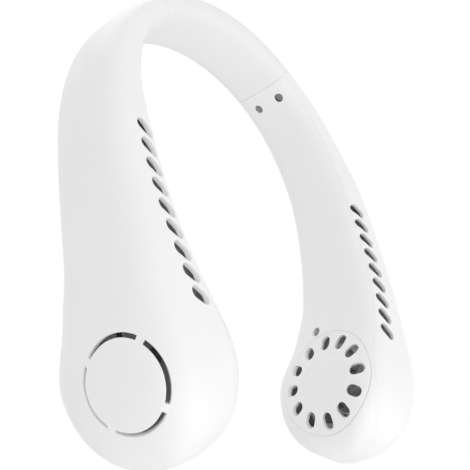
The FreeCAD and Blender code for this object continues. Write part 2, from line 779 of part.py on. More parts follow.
def impeller():
    """Centrifugal impeller: domed hub over the rotor, back plate, curved blades and a front ring."""
    _, rotor_outer = rotor_radii()
    _, high = rotor_span()
    inside, front = hub_floor()
    hub_radius = rotor_outer + HUB_WALL
    nose = front - HUB_NOSE
    profile = [
        Part.LineSegment(Vector(0, 0, nose), Vector(0, 0, high)).toShape(),
        Part.LineSegment(Vector(0, 0, high), Vector(hub_radius, 0, high)).toShape(),
        Part.LineSegment(Vector(hub_radius, 0, high), Vector(hub_radius, 0, front)).toShape(),
        Part.Arc(
            Vector(hub_radius, 0, front),
            Vector(hub_radius * math.sin(math.pi / 4), 0, front - HUB_NOSE * math.cos(math.pi / 4)),
            Vector(0, 0, nose),
        ).toShape(),
    ]
    hub = Part.Face(Part.Wire(profile)).revolve(Vector(0, 0, 0), Vector(0, 0, 1), 360)
    plate = cylinder(IMPELLER_RADIUS, high - IMPELLER_PLATE, high)
    ring_inner = IMPELLER_RADIUS - FRONT_RING_WIDTH
    ring = tube(IMPELLER_RADIUS, ring_inner, BLADE_FRONT, BLADE_FRONT + FRONT_RING_THICKNESS)
    blades = [around_z(blade(), 360 / BLADE_COUNT * k) for k in range(BLADE_COUNT)]
    rim = cylinder(IMPELLER_RADIUS, BLADE_FRONT, high)
    eye = Part.makeCone(0.6 * IMPELLER_RADIUS, hub_radius, front - BLADE_FRONT, Vector(0, 0, BLADE_FRONT))
    blades = [one.common(rim).cut(eye) for one in blades]
    solid = fused([hub, plate, ring] + blades)
    bore = cylinder(rotor_outer, inside, high)
    return on_fan(solid.cut([bore, cylinder(SHAFT_RADIUS + PRESS_PLAY, front, inside)]))


def battery():
    """Pouch cell with rounded long edges, lying on the cradle ribs."""
    cell = block(BATTERY_LENGTH, BATTERY_WIDTH, BATTERY_THICKNESS)
    long_edges = [e for e in cell.Edges if abs(e.tangentAt(e.FirstParameter).x) > 0.99]
    cell = cell.makeFillet(BATTERY_CORNER, long_edges)
    return on_arm(cell, BATTERY_AT, BATTERY_OUTWARD)


def route_wire(points):
    """Straight runs joined by tangent arcs, each as large as its shorter run allows."""
    edges, radii = [], []
    start = points[0]
    for before, corner, after in zip(points, points[1:], points[2:]):
        back = before - corner
        ahead = after - corner
        shorter = min(back.Length, ahead.Length)
        back.normalize()
        ahead.normalize()
        half_turn = (math.pi - back.getAngle(ahead)) / 2
        cut = 0.45 * shorter
        radius = cut / math.tan(half_turn)
        radii.append(round(radius, 1))
        bisector = (back + ahead).normalize()
        middle = corner + bisector * (math.hypot(cut, radius) - radius)
        edges.append(Part.LineSegment(start, corner + back * cut).toShape())
        edges.append(Part.Arc(corner + back * cut, middle, corner + ahead * cut).toShape())
        start = corner + ahead * cut
    edges.append(Part.LineSegment(start, points[-1]).toShape())
    return Part.Wire(edges), radii


def arm_point(distance, outward, across):
    """Point on the arm from its distance, outward offset and height along Y."""
    centre, _, out, _ = path_frame(distance)
    return Vector(centre.x, across, centre.z) + out * outward


def lead(name, points):
    """Round lead along a route of points."""
    wire, radii = route_wire(points)
    profile = Part.Wire([Part.makeCircle(LEAD_RADIUS, points[0], points[1] - points[0])])
    solid = wire.makePipeShell([profile], True, False)
    length = solid.Volume / (math.pi * LEAD_RADIUS ** 2)
    print(name, "bend radii", radii, "route", round(wire.Length, 1), "volume over section", round(length, 1))
    return solid


def motor_end():
    """Last two points of a lead and its plug on the outer face of the motor base."""
    plug = block(PLUG_LENGTH, PLUG_WIDTH, PLUG_HEIGHT)
    plug.translate(Vector(-MOTOR_PLUG_UP, 0, BASE_TOP + PLUG_HEIGHT / 2))
    place = frame_placement(*fan_frame())
    end = Vector(-MOTOR_PLUG_UP - PLUG_LENGTH / 2 + PLUG_GRIP, 0, BASE_TOP + PLUG_HEIGHT / 2)
    points = [place.multVec(end - Vector(2 * PLUG_LENGTH, 0, 0)), place.multVec(end)]
    return points, on_fan(plug)


def board_plug(along, side):
    """Lead's end on the board, its next point up (-1) or down (1) the arm, and the plug there."""
    plug = block(PLUG_LENGTH, PLUG_WIDTH, PLUG_HEIGHT)
    plug.translate(Vector(0, -BOARD_PLUG_OUTWARD, PLUG_HEIGHT / 2))
    end = Vector(along + side * (PLUG_LENGTH / 2 - PLUG_GRIP), -BOARD_PLUG_OUTWARD, PLUG_HEIGHT / 2)
    place = board_placement()
    return place.multVec(end), place.multVec(end + Vector(side * LEAD_RUN, 0, 0)), on_board(plug, along)


def upper_route():
    """Lead's way from the band cable's end past the battery."""
    start = SEAM_AT + TONGUE_LENGTH + CABLE_PAST_TONGUE
    first, along, _, _ = path_frame(start)
    first = arm_point(start, CABLE_OUTSIDE, 0) + along * LEAD_END_GAP
    return [
        first,
        first + along * LEAD_RUN / 2,
        arm_point(start + 17, 1.5, LEAD_SIDE + 0.8),
        arm_point(BATTERY_AT - 8, 1.5, LEAD_SIDE + 0.6),
        arm_point(BATTERY_AT + 8, 1.5, LEAD_SIDE),
    ]


def lower_route():
    """Lead's way past the lower case screw to the motor."""
    return [arm_point(BOARD_AT + LOW_PLUG_ALONG + 17, 5.0, -2.5)]


def leads():
    """Leads by node name: one in the left arm, two in the right arm where the board lies between."""
    motor_points, motor_plug = motor_end()
    top_end, top_before, top_plug = board_plug(TOP_PLUG_ALONG, -1)
    low_end, low_after, low_plug = board_plug(LOW_PLUG_ALONG, 1)
    middle = [arm_point(MID_ARM_AT, 1.0, LEAD_SIDE), arm_point(BOARD_AT, 0.5, LEAD_SIDE), low_after]
    left = upper_route() + middle + lower_route() + motor_points
    right = upper_route() + [top_before, top_end]
    right_motor = [low_end, low_after] + lower_route() + motor_points
    return {
        "left_lead": lead("left_lead", left).fuse(motor_plug),
        "right_lead": mirrored(lead("right_lead", right).fuse(top_plug)),
        "right_motor_lead": mirrored(fused([lead("right_motor_lead", right_motor), motor_plug, low_plug])),
    }


def arm_measure(point, inset):
    """Below 0 inside the arm's surface moved in by the inset, above 0 outside it."""
    distance = BOARD_AT
    for _ in range(5):
        centre, tangent, out, across = path_frame(distance)
        distance += (point - centre).dot(tangent)
    u = (point - centre).dot(out) / (half_thickness(distance) - inset)
    v = (point - centre).dot(across) / (half_width(distance) - inset)
    power = SECTION_POWER if u > 0 else inner_power(distance)
    return abs(u) ** power + abs(v) ** power - 1


def edge_height(along, outward, inset=0.0):
    """Height of the arm's +Y edge above its middle, square to the control board."""
    centre, tangent, out, across = path_frame(BOARD_AT)
    start = centre + tangent * along + out * outward
    low, high = 0.0, POD_WIDTH
    while high - low > 0.001:
        middle = (low + high) / 2
        if arm_measure(start + across * middle, inset) < 0:
            low = middle
        else:
            high = middle
    return low


def board_face():
    """Height of the board's component face above the arm's middle: the socket ends under the surface."""
    return edge_height(SOCKET_ALONG, BOARD_OUTWARD) - SOCKET_BELOW_SURFACE - SOCKET_HEIGHT


def board_placement():
    """Frame of the board's component face: X along the arm, Z out through the +Y edge."""
    centre, tangent, out, across = path_frame(BOARD_AT)
    return frame_placement(centre + out * BOARD_OUTWARD + across * board_face(), tangent, across)


def on_board(shape, along=0.0):
    """Moves a shape made on the board's component face to its place along the board."""
    moved = shape.copy()
    moved.translate(Vector(along, 0, 0))
    moved.Placement = board_placement().multiply(moved.Placement)
    return moved


def board_plate(play=0.0):
    """Control board, under its component face."""
    plate = block(BOARD_LENGTH + 2 * play, BOARD_WIDTH + 2 * play, BOARD_THICKNESS + 2 * play)
    plate.translate(Vector(0, 0, -BOARD_THICKNESS / 2))
    return on_board(plate)


def board_ribs(keep):
    """Grooved ribs on the inner shell's floor that hold the board's ends and stop short of its leads."""
    ribs = []
    for side in (-1, 1):
        rib = block(BOARD_RIB_THICKNESS, POD_THICKNESS, BOARD_THICKNESS + 2 * BOARD_RIB_DEPTH)
        along = side * (BOARD_LENGTH / 2 - BOARD_RIB_GRIP + BOARD_RIB_THICKNESS / 2)
        aside = POD_THICKNESS / 2 - BOARD_WIDTH / 2 + BOARD_RIB_SHORT
        rib.translate(Vector(along, aside, -BOARD_THICKNESS / 2))
        ribs.append(on_board(rib).common(keep))
    return fused(ribs).cut(board_plate(BOARD_PLAY))


def usb_socket():
    """Upright charging socket on the board: a metal sleeve with a tongue."""
    sleeve = oval_prism(SOCKET_LENGTH, SOCKET_WIDTH, SOCKET_HEIGHT)
    hollow = oval_prism(SOCKET_LENGTH - 2 * SOCKET_WALL, SOCKET_WIDTH - 2 * SOCKET_WALL, SOCKET_HEIGHT)
    hollow.translate(Vector(0, 0, 2 * SOCKET_WALL))
    blade_inside = block(0.7 * SOCKET_LENGTH, 0.2 * SOCKET_WIDTH, 0.8 * SOCKET_HEIGHT)
    blade_inside.translate(Vector(0, 0, 0.4 * SOCKET_HEIGHT))
    return on_board(sleeve.cut(hollow).fuse(blade_inside), SOCKET_ALONG)


def flange_top():
    """Height of the button flange's upper face above the board: under the lowest point of the wall."""
    half_length = BUTTON_LENGTH / 2 + BUTTON_FLANGE
    half_across = BUTTON_WIDTH / 2 + BUTTON_FLANGE
    heights = []
    for along in (BUTTON_ALONG - half_length, BUTTON_ALONG + half_length):
        for outward in (BOARD_OUTWARD - half_across, BOARD_OUTWARD + half_across):
            heights.append(edge_height(along, outward, WALL))
    return min(heights) - BUTTON_STOP_GAP - board_face()


def tact_switch():
    """Push switch under the button, with a well for the button's stem."""
    body = block(SWITCH_SIZE, SWITCH_SIZE, SWITCH_HEIGHT)
    body.translate(Vector(0, 0, SWITCH_HEIGHT / 2))
    well = cylinder(STEM_RADIUS + STEM_PLAY, SWITCH_FLOOR, SWITCH_HEIGHT)
    return on_board(body.cut(well), BUTTON_ALONG)


def power_button():
    """Button cap with a flange that keeps it behind the shell and a stem into the switch."""
    low = flange_top() - BUTTON_FLANGE_THICKNESS
    high = edge_height(BUTTON_ALONG, BOARD_OUTWARD) + BUTTON_PROUD - board_face()
    cap = oval_prism(BUTTON_LENGTH, BUTTON_WIDTH, high - low)
    flange = oval_prism(
        BUTTON_LENGTH + 2 * BUTTON_FLANGE, BUTTON_WIDTH + 2 * BUTTON_FLANGE, BUTTON_FLANGE_THICKNESS
    )
    cap.translate(Vector(0, 0, low))
    flange.translate(Vector(0, 0, low))
    stem = cylinder(STEM_RADIUS, SWITCH_FLOOR + 2 * BUTTON_TRAVEL, low)
    return on_board(fused([cap, flange, stem]), BUTTON_ALONG)


def light_guide():
    """Clear pin from the board to the shell's surface."""
    height = edge_height(LIGHT_ALONG, BOARD_OUTWARD) - board_face()
    return on_board(cylinder(LIGHT_RADIUS, 0, height), LIGHT_ALONG)


def control_openings():
    """Cutters through the +Y edge for the socket, the button and the light guide."""
    through = POD_WIDTH
    socket = oval_prism(SOCKET_LENGTH + 2 * SOCKET_PLAY, SOCKET_WIDTH + 2 * SOCKET_PLAY, through)
    button = oval_prism(BUTTON_LENGTH + 2 * BUTTON_PLAY, BUTTON_WIDTH + 2 * BUTTON_PLAY, through)
    light = cylinder(LIGHT_RADIUS + LIGHT_PLAY, 0, through)
    return [
        on_board(socket, SOCKET_ALONG),
        on_board(button, BUTTON_ALONG),
        on_board(light, LIGHT_ALONG),
    ]


def control_parts():
    """Board, socket, switch, button and light guide, made on the left arm's form."""
    return {
        "control_board": board_plate(),
        "usb_socket": usb_socket(),
        "button_switch": tact_switch(),
        "power_button": power_button(),
        "light_guide": light_guide(),
    }


def fan_parts():
    """Everything that turns or carries the fan in one pod."""
    return {
        "impeller": impeller(),
        "motor_shaft": shaft(),
        "rotor_ring": rotor_ring(),
        "stator": stator(),
        "motor_bearings": motor_bearings(),
        "motor_base": motor_base(),
        "motor_screws": motor_screws(),
    }


def build():
    """All pieces by node name."""
    solid = arm_solid(SEAM_AT, 0)
    cavity = arm_solid(SEAM_AT + END_WALL, WALL)
    keep = arm_solid(SEAM_AT + END_WALL / 2, WALL / 2)
    hollow = solid.cut(cavity)
    nodes = band_parts()
    shared = {
        "vent_cover": vent_cover(hollow),
        "case_screws": case_screws(),
        "battery": battery(),
    }
    shared.update(fan_parts())
    lid = inner_shell(hollow, keep)
    for name, shape in shared.items():
        nodes["left_" + name] = shape
        nodes["right_" + name] = mirrored(shape)
    nodes["left_outer_shell"] = outer_shell(hollow, keep, SLOT_SLANT)
    nodes["right_outer_shell"] = mirrored(outer_shell(hollow, keep, -SLOT_SLANT).cut(control_openings()))
    nodes["left_inner_shell"] = lid
    nodes["right_inner_shell"] = mirrored(lid.fuse(board_ribs(keep)))
    for name, shape in control_parts().items():
        nodes[name] = mirrored(shape)
    nodes.update(leads())
    return nodes


def main():
    """Builds every node and writes one STEP file each."""
    os.makedirs("parts", exist_ok=True)
    for name, shape in build().items():
        shape.exportStep(os.path.join("parts", name + ".step"))
        print(name, "solids", len(shape.Solids), "volume", round(shape.Volume, 1), "valid", shape.isValid())


main()
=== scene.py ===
"""Electric neck fan: dressed surfaces, finishes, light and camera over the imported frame.

The form classes work in millimetres on the left half of the loop. Meshes, lights and the camera are in
metres.
"""

import json
import logging
from dataclasses import dataclass, field
from enum import Enum
from typing import Optional, Sequence

import bmesh
import bpy
import numpy as np
from mathutils import Matrix, Vector


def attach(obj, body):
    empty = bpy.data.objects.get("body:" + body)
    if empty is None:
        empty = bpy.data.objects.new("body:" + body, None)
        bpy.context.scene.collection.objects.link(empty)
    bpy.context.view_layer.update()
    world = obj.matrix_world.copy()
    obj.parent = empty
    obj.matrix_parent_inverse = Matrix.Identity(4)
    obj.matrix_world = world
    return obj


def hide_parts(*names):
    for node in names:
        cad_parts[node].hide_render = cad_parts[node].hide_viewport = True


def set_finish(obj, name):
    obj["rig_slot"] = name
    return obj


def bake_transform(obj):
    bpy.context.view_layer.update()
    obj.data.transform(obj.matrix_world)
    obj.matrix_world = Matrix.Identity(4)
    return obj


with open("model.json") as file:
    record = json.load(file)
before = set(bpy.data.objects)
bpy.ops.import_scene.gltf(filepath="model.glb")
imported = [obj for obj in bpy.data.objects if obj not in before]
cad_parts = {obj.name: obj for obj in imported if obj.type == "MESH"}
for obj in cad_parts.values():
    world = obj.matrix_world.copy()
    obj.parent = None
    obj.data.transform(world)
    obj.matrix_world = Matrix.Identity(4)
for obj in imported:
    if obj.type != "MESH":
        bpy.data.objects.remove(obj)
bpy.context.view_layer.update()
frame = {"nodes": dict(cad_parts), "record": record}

LOG = logging.getLogger("neck_fan")
MILLIMETRE = 0.001
# LEAST_HALF, TRACE_REACH and RING_STEP are in millimetres, MERGE_DISTANCE, THIN_EDGE and GRAIN_DEPTH in
# metres, CREASE_ANGLE in degrees, TURN_STEP in radians and LEAST_PACE in millimetres per radian.
LEAST_HALF = 1e-6
LOCATE_STEPS = 6
TRACE_STEPS = 30
TRACE_REACH = 70.0
RING_STEP = 1.2
LEAST_STEPS = 3
QUARTER_ROUND = np.radians([0.0, 30.0, 60.0, 90.0])
MERGE_DISTANCE = 2e-6
THIN_EDGE = 1e-7
CREASE_ANGLE = 35.0
TURN_STEP = 0.01
LEAST_PACE = 1.0
MOTTLE_SCALE = 55.0
MOTTLE_DETAIL = 3.0
GRAIN_DETAIL = 2.0
GRAIN_DEPTH = 0.00002

Colour = tuple[float, float, float]
Pair = tuple[np.ndarray, np.ndarray]


class Side(Enum):
    """One half of the loop: its node prefix and its sign along X."""

    LEFT = ("left", 1.0)
    RIGHT = ("right", -1.0)

    @property
    def prefix(self) -> str:
        """Start of the names of this side's nodes."""
        return self.value[0]

    @property
    def sign(self) -> float:
        """Factor on X that turns the left half into this one."""
        return self.value[1]

    @property
    def body(self) -> str:
        """Name of the arm's body."""
        return self.prefix + "_arm"


class Face(Enum):
    """Face of the arm that a sight looks through: the inner one, the -Y edge or the +Y edge."""

    INNER = "inner"
    FRONT = "front"
    BACK = "back"


@dataclass(frozen=True)
class Station:
    """Section of the arm at a distance along the centre line, in millimetres."""

    at: float
    thickness: float
    width: float
    aside: float
    pod_share: float


@dataclass(frozen=True)
class LoopForm:
    """Outer form of the left half of the loop.

    A centre line of three tangent arcs carries sections |u|^p + |v|^p = 1, where u is the share of the half
    thickness and v the share of the half width. Past the pod's middle the run goes on as an angle up to
    the tip.
    """

    arcs: tuple[tuple[float, float], ...] = ((71.0, 65.0), (100.0, 22.0), (264.0, 19.0))
    stations: tuple[Station, ...] = (
        Station(44.611, 12.2, 30.9, 0.0, 0.0),
        Station(82.0, 16.8, 31.8, -1.3, 0.05),
        Station(124.0, 23.8, 35.3, -4.2, 0.25),
        Station(165.0, 26.8, 42.4, -5.0, 0.6),
        Station(187.0, 32.4, 49.7, -3.2, 0.83),
        Station(210.0, 39.6, 58.8, 0.0, 1.0),
    )
    end_reach: float = 33.0
    twist: float = -4.7
    outer_power: float = 3.2
    pod_inner_power: float = 5.0
    outer_end_power: float = 2.3
    inner_end_power: float = 2.8
    lid_depth: float = 3.0
    pod_lid_depth: float = 4.4

    @property
    def seam_at(self) -> float:
        """Distance of the seam between band and arm."""
        return self.stations[0].at

    @property
    def pod_at(self) -> float:
        """Distance of the pod's middle."""
        return self.stations[-1].at

    @property
    def tip_at(self) -> float:
        """Run of the pod's tip."""
        return self.pod_at + self.end_reach * np.pi / 2

    def column(self, name: str, distance: np.ndarray) -> np.ndarray:
        """Smooth monotone curve through one size of the stations.

        Between two stations it is the cubic with their values and slopes. A slope is the harmonic mean of the
        rises on both sides of the station, and 0 at the ends and where the rises differ in sign.

        Args:
            name: field of the stations.
            distance: distances along the centre line.

        Returns:
            The size at each distance.
        """
        at = np.array([station.at for station in self.stations])
        value = np.array([getattr(station, name) for station in self.stations])
        rise = np.diff(value) / np.diff(at)
        slope = np.zeros_like(value)
        product = rise[:-1] * rise[1:]
        total = np.where(product > 0, rise[:-1] + rise[1:], 1.0)
        slope[1:-1] = np.where(product > 0, 2 * product / total, 0.0)
        distance = np.clip(distance, at[0], at[-1])
        i = np.clip(np.searchsorted(at, distance, side="right") - 1, 0, len(at) - 2)
        step = at[i + 1] - at[i]
        t = (distance - at[i]) / step
        start = value[i] * (1 + 2 * t) * (1 - t) ** 2 + slope[i] * step * t * (1 - t) ** 2
        return start + value[i + 1] * t * t * (3 - 2 * t) + slope[i + 1] * step * t * t * (t - 1)

    def path(self, distance: np.ndarray) -> tuple[np.ndarray, np.ndarray, np.ndarray, np.ndarray]:
        """Section centres and directions: each arc turns the line by its sweep, and the last tangent goes on.

        Args:
            distance: distances along the centre line from the crown.

        Returns:
            Centres and the unit directions along, out of and across the arm, each with a last axis of 3.
        """
        distance = np.asarray(distance, float)
        angle = np.zeros_like(distance)
        x = np.zeros_like(distance)
        z = np.full_like(distance, self.stations[0].thickness / 2)
        left = distance
        for radius, sweep in self.arcs:
            turn = np.clip(left / radius, 0.0, np.radians(sweep))
            x = x + radius * (np.sin(angle + turn) - np.sin(angle))
            z = z + radius * (np.cos(angle + turn) - np.cos(angle))
            angle = angle + turn
            left = left - turn * radius
        zero = np.zeros_like(angle)
        along = np.stack([np.cos(angle), zero, -np.sin(angle)], -1)
        normal = np.stack([np.sin(angle), zero, np.cos(angle)], -1)
        sideways = np.array([0.0, 1.0, 0.0])
        turn = np.radians(self.twist) * self.column("pod_share", distance)
        cosine, sine = np.cos(turn)[..., None], np.sin(turn)[..., None]
        centre = np.stack([x, self.column("aside", distance), z], -1) + along * left[..., None]
        return centre, along, normal * cosine + sideways * sine, sideways * cosine - normal * sine

    def inner_power(self, distance: np.ndarray) -> np.ndarray:
        """Squareness of the section's inner side."""
        change = self.pod_inner_power - self.outer_power
        return self.outer_power + change * self.column("pod_share", distance)

    def section(self, run: np.ndarray, inset: np.ndarray) -> tuple[np.ndarray, ...]:
        """Section at a run, with its walls moved in.

        Past the pod's middle the sine of the run's angle is the share of the way to the tip. There the half
        width falls with the cosine, and the half thickness by (1 - share^q)^(1/q), with one power q on
        each side.

        Args:
            run: runs along the form.
            inset: depth under the surface.

        Returns:
            Distance along the centre line, height of the middle, half thickness and half width.
        """
        angle = np.clip((run - self.pod_at) / self.end_reach, 0.0, np.pi / 2)
        share = np.sin(angle)
        distance = np.minimum(run, self.pod_at) + (self.end_reach - inset) * share
        thick = self.column("thickness", distance) / 2 - inset
        outside = thick * np.maximum(1 - share ** self.outer_end_power, 0.0) ** (1 / self.outer_end_power)
        inside = thick * np.maximum(1 - share ** self.inner_end_power, 0.0) ** (1 / self.inner_end_power)
        half = (self.column("width", distance) / 2 - inset) * np.cos(angle)
        return distance, (outside - inside) / 2, (outside + inside) / 2, half

    def place(self, run: np.ndarray, turn: np.ndarray, inset: np.ndarray) -> np.ndarray:
        """Points of the surface.

        A point lies in the section at its run, in the direction of its turn (0 outward, a quarter turn
        to +Y), at the reach (|cos|^p + |sin|^p)^(-1/p) of the section's half sizes.

        Args:
            run: runs along the form.
            turn: turns round the sections, in radians.
            inset: depth under the surface.

        Returns:
            Points in millimetres, with a last axis of 3.
        """
        distance, middle, depth, half = self.section(run, inset)
        centre, _, out, across = self.path(distance)
        c, s = np.cos(turn), np.sin(turn)
        power = np.where(c > 0, self.outer_power, self.inner_power(distance))
        reach = (np.abs(c) ** power + np.abs(s) ** power) ** (-1 / power)
        return centre + out * (middle + depth * reach * c)[..., None] + across * (half * reach * s)[..., None]

    def turn_at(self, run: np.ndarray, outward: np.ndarray) -> np.ndarray:
        """Turn on the +Y edge at a height: its u and v = (1 - |u|^p)^(1/p) give the direction.

        Args:
            run: runs along the form.
            outward: heights out of the section's centre.

        Returns:
            Turns in radians.
        """
        distance, middle, depth, _ = self.section(run, np.zeros_like(run))
        u = np.clip((outward - middle) / np.maximum(depth, LEAST_HALF), -1.0, 1.0)
        power = np.where(u > 0, self.outer_power, self.inner_power(distance))
        return np.arctan2((1 - np.abs(u) ** power) ** (1 / power), u)

    def parting_height(self, run: np.ndarray) -> np.ndarray:
        """Height of the line between the two shells: one lid's depth from the inner face, and 0 at the tip.

        Args:
            run: runs along the form.

        Returns:
            Heights out of the section's centre.
        """
        distance, _, _, _ = self.section(run, np.zeros_like(run))
        share = np.clip((distance - self.pod_at) / self.end_reach, 0.0, 1.0)
        lid = self.lid_depth + (self.pod_lid_depth - self.lid_depth) * self.column("pod_share", distance)
        return -(self.column("thickness", distance) / 2 - lid) * (1 - share ** 2)

    def locate(self, points: np.ndarray, near: float) -> tuple[np.ndarray, np.ndarray, np.ndarray]:
        """Places of points on the form, by stepping along the centre line until each lies square to it.

        Args:
            points: points in millimetres.
            near: distance along the centre line from which the steps start.

        Returns:
            Runs, turns and measures |u|^p + |v|^p, which are below 1 inside the form.
        """
        distance = np.full(points.shape[:-1], near)
        for _ in range(LOCATE_STEPS):
            centre, along, _, _ = self.path(distance)
            distance = distance + np.sum((points - centre) * along, -1)
        centre, _, out, across = self.path(distance)
        share = np.clip((distance - self.pod_at) / self.end_reach, 0.0, 1.0)
        run = np.minimum(distance, self.pod_at) + self.end_reach * np.arcsin(share)
        _, middle, depth, half = self.section(run, np.zeros_like(run))
        u = (np.sum((points - centre) * out, -1) - middle) / np.maximum(depth, LEAST_HALF)
        v = np.sum((points - centre) * across, -1) / np.maximum(half, LEAST_HALF)
        power = np.where(u > 0, self.outer_power, self.inner_power(distance))
        return run, np.arctan2(v, u), np.abs(u) ** power + np.abs(v) ** power


FORM = LoopForm()


@dataclass(frozen=True)
class Sight:
    """Flat frame whose axis leaves the form through its surface."""

    origin: np.ndarray
    x_axis: np.ndarray
    y_axis: np.ndarray
    axis: np.ndarray
    near: float

    def flat(self, points: np.ndarray) -> np.ndarray:
        """Points seen along the axis, as local x and y."""
        offset = points - self.origin
        return np.stack([offset @ self.x_axis, offset @ self.y_axis], -1)

    def trace(self, local: np.ndarray) -> Pair:
        """Places where lines along the axis meet the surface, by halving the stretch that holds the surface.

        Args:
            local: local x and y of the lines, in the last axis.

        Returns:
            Runs and turns on the form.
        """
        start = self.origin + local[..., :1] * self.x_axis + local[..., 1:] * self.y_axis
        low = np.zeros(local.shape[:-1])
        high = np.full(local.shape[:-1], TRACE_REACH)
        for _ in range(TRACE_STEPS):
            middle = (low + high) / 2
            _, _, measure = FORM.locate(start + middle[..., None] * self.axis, self.near)
            low = np.where(measure < 1, middle, low)
            high = np.where(measure < 1, high, middle)
        run, turn, _ = FORM.locate(start + low[..., None] * self.axis, self.near)
        return run, turn

    def turned(self, bearing: float, along: float = 0.0) -> "Sight":
        """Sight turned about its axis by a bearing and then moved along its new x axis.

        Args:
            bearing: turn in radians.
            along: length of the move.

        Returns:
            The new sight, with the same axis.
        """
        c, s = np.cos(bearing), np.sin(bearing)
        x_axis = self.x_axis * c + self.y_axis * s
        y_axis = self.y_axis * c - self.x_axis * s
        return Sight(self.origin + x_axis * along, x_axis, y_axis, self.axis, self.near)


@dataclass(frozen=True)
class ArcSight(Sight):
    """Sight whose local x runs along an arc round the axis and whose local y runs outward from it."""

    bearing: float = 0.0
    radius: float = 1.0

    def flat(self, points: np.ndarray) -> np.ndarray:
        """Points seen along the axis: their angle from the bearing times the radius, and their radial offset.

        Args:
            points: points in millimetres.

        Returns:
            Arc lengths and offsets, in the last axis.
        """
        seen = super().flat(points)
        angle = np.angle(np.exp(1j * (np.arctan2(seen[..., 1], seen[..., 0]) - self.bearing)))
        return np.stack([angle * self.radius, np.linalg.norm(seen, axis=-1) - self.radius], -1)

    def trace(self, local: np.ndarray) -> Pair:
        """Places where lines along the axis through points of the arc meet the surface.

        Args:
            local: arc lengths and offsets, in the last axis.

        Returns:
            Runs and turns on the form.
        """
        angle = local[..., 0] / self.radius + self.bearing
        reach = local[..., 1] + self.radius
        return super().trace(np.stack([reach * np.cos(angle), reach * np.sin(angle)], -1))


def arm_sight(distance: float, outward: float, aside: float, face: Face, slant: float = 0.0) -> Sight:
    """Sight from inside the arm.

    Args:
        distance: distance of its origin along the centre line.
        outward: offset of its origin out of the arm.
        aside: offset of its origin across the arm.
        face: face that it looks through.
        slant: angle in degrees that turns local x from along the arm.

    Returns:
        The sight, with local x along the arm where the slant is 0.
    """
    centre, along, out, across = FORM.path(np.array(distance))
    origin = centre + out * outward + across * aside
    views = {Face.INNER: (across, -out), Face.FRONT: (out, -across), Face.BACK: (out, across)}
    flat, axis = views[face]
    return Sight(origin, along, flat, axis, distance).turned(np.radians(slant))


@dataclass(frozen=True)
class FanPlace:
    """Where the fan's axis stands in the pod."""

    below_pod: float = 2.8
    aside: float = -4.4
    tilt: float = -6.3

    def sight(self, inward: bool) -> Sight:
        """Sight along the fan's axis, which is the outward direction tilted across the arm.

        Args:
            inward: whether it looks through the inner face instead of the outer one.

        Returns:
            The sight, with local x along the arm.
        """
        distance = FORM.pod_at + self.below_pod
        centre, along, out, across = FORM.path(np.array(distance))
        c, s = np.cos(np.radians(self.tilt)), np.sin(np.radians(self.tilt))
        axis = out * c + across * s
        flat = across * c - out * s
        return Sight(centre + across * self.aside, along, flat, -axis if inward else axis, distance)


FAN = FanPlace()


@dataclass(frozen=True)
class Opening:
    """Rounded opening in place of a block of a sheet's grid.

    With a corner radius of 0 the block only stays open, for another sheet to fill.
    """

    sight: Sight
    half: tuple[float, float]
    corner: float
    rows: tuple[int, int]
    columns: tuple[int, int]
    edge: float = 0.0

    def outline(self, local: np.ndarray, more: float) -> np.ndarray:
        """Nearest points of the outline.

        The outline lies the corner radius away from a core, whose half sizes are smaller by that radius.

        Args:
            local: local x and y of the points, in the last axis.
            more: offset by which the outline is widened.

        Returns:
            Points of the outline, in the same form.
        """
        core = np.array(self.half) - self.corner
        inside = np.clip(local, -core, core)
        away = local - inside
        return inside + away / np.linalg.norm(away, axis=-1, keepdims=True) * (self.corner + more)


@dataclass
class Patch:
    """Growing set of surface places (run, turn, inset) and of faces between them."""

    places: list[np.ndarray] = field(default_factory=list)
    faces: list[np.ndarray] = field(default_factory=list)
    count: int = 0

    def add(self, run: np.ndarray, turn: np.ndarray, inset: np.ndarray) -> np.ndarray:
        """Adds places.

        Args:
            run: runs along the form.
            turn: turns round the sections.
            inset: depths under the surface.

        Returns:
            Numbers of the places, in their common shape.
        """
        run, turn, inset = np.broadcast_arrays(run, turn, inset)
        numbers = np.arange(self.count, self.count + run.size).reshape(run.shape)
        self.places.append(np.stack([run.ravel(), turn.ravel(), inset.ravel()], -1))
        self.count += run.size
        return numbers

    def grid(self, numbers: np.ndarray, kept: Optional[np.ndarray] = None) -> None:
        """Adds quads between the rows and columns of a block.

        Args:
            numbers: numbers of the places, in rows and columns.
            kept: which of the quads are made, or None for all.
        """
        quads = np.stack([numbers[:-1, :-1], numbers[1:, :-1], numbers[1:, 1:], numbers[:-1, 1:]], -1)
        self.faces.append(quads[kept] if kept is not None else quads.reshape(-1, 4))

    def strips(self, rings: Sequence[np.ndarray], closed: bool) -> None:
        """Adds quads from each ring to the next one.

        Args:
            rings: numbers of the places along each ring.
            closed: whether the rings' ends are joined.
        """
        numbers = np.stack(rings)
        if closed:
            numbers = np.concatenate([numbers, numbers[:, :1]], 1)
        self.grid(numbers)

    def points(self) -> np.ndarray:
        """Points of every place, in millimetres on the left half."""
        run, turn, inset = np.concatenate(self.places).T
        return FORM.place(run, turn, inset)


def between(count: int) -> np.ndarray:
    """Even shares between 0 and 1, without these two."""
    return np.linspace(0.0, 1.0, count + 2)[1:-1]


def even_shares(run: np.ndarray, turn: np.ndarray, far_run: np.ndarray, far_turn: np.ndarray) -> np.ndarray:
    """Shares of the way between two rings, with the widest gap crossed in steps of RING_STEP or less.

    Args:
        run: runs of the first ring.
        turn: turns of the first ring.
        far_run: runs of the second ring.
        far_turn: turns of the second ring.

    Returns:
        At least two shares between 0 and 1.
    """
    flat = np.zeros_like(run)
    gap = np.linalg.norm(FORM.place(far_run, far_turn, flat) - FORM.place(run, turn, flat), axis=-1).max()
    return between(max(int(np.ceil(gap / RING_STEP)), LEAST_STEPS) - 1)


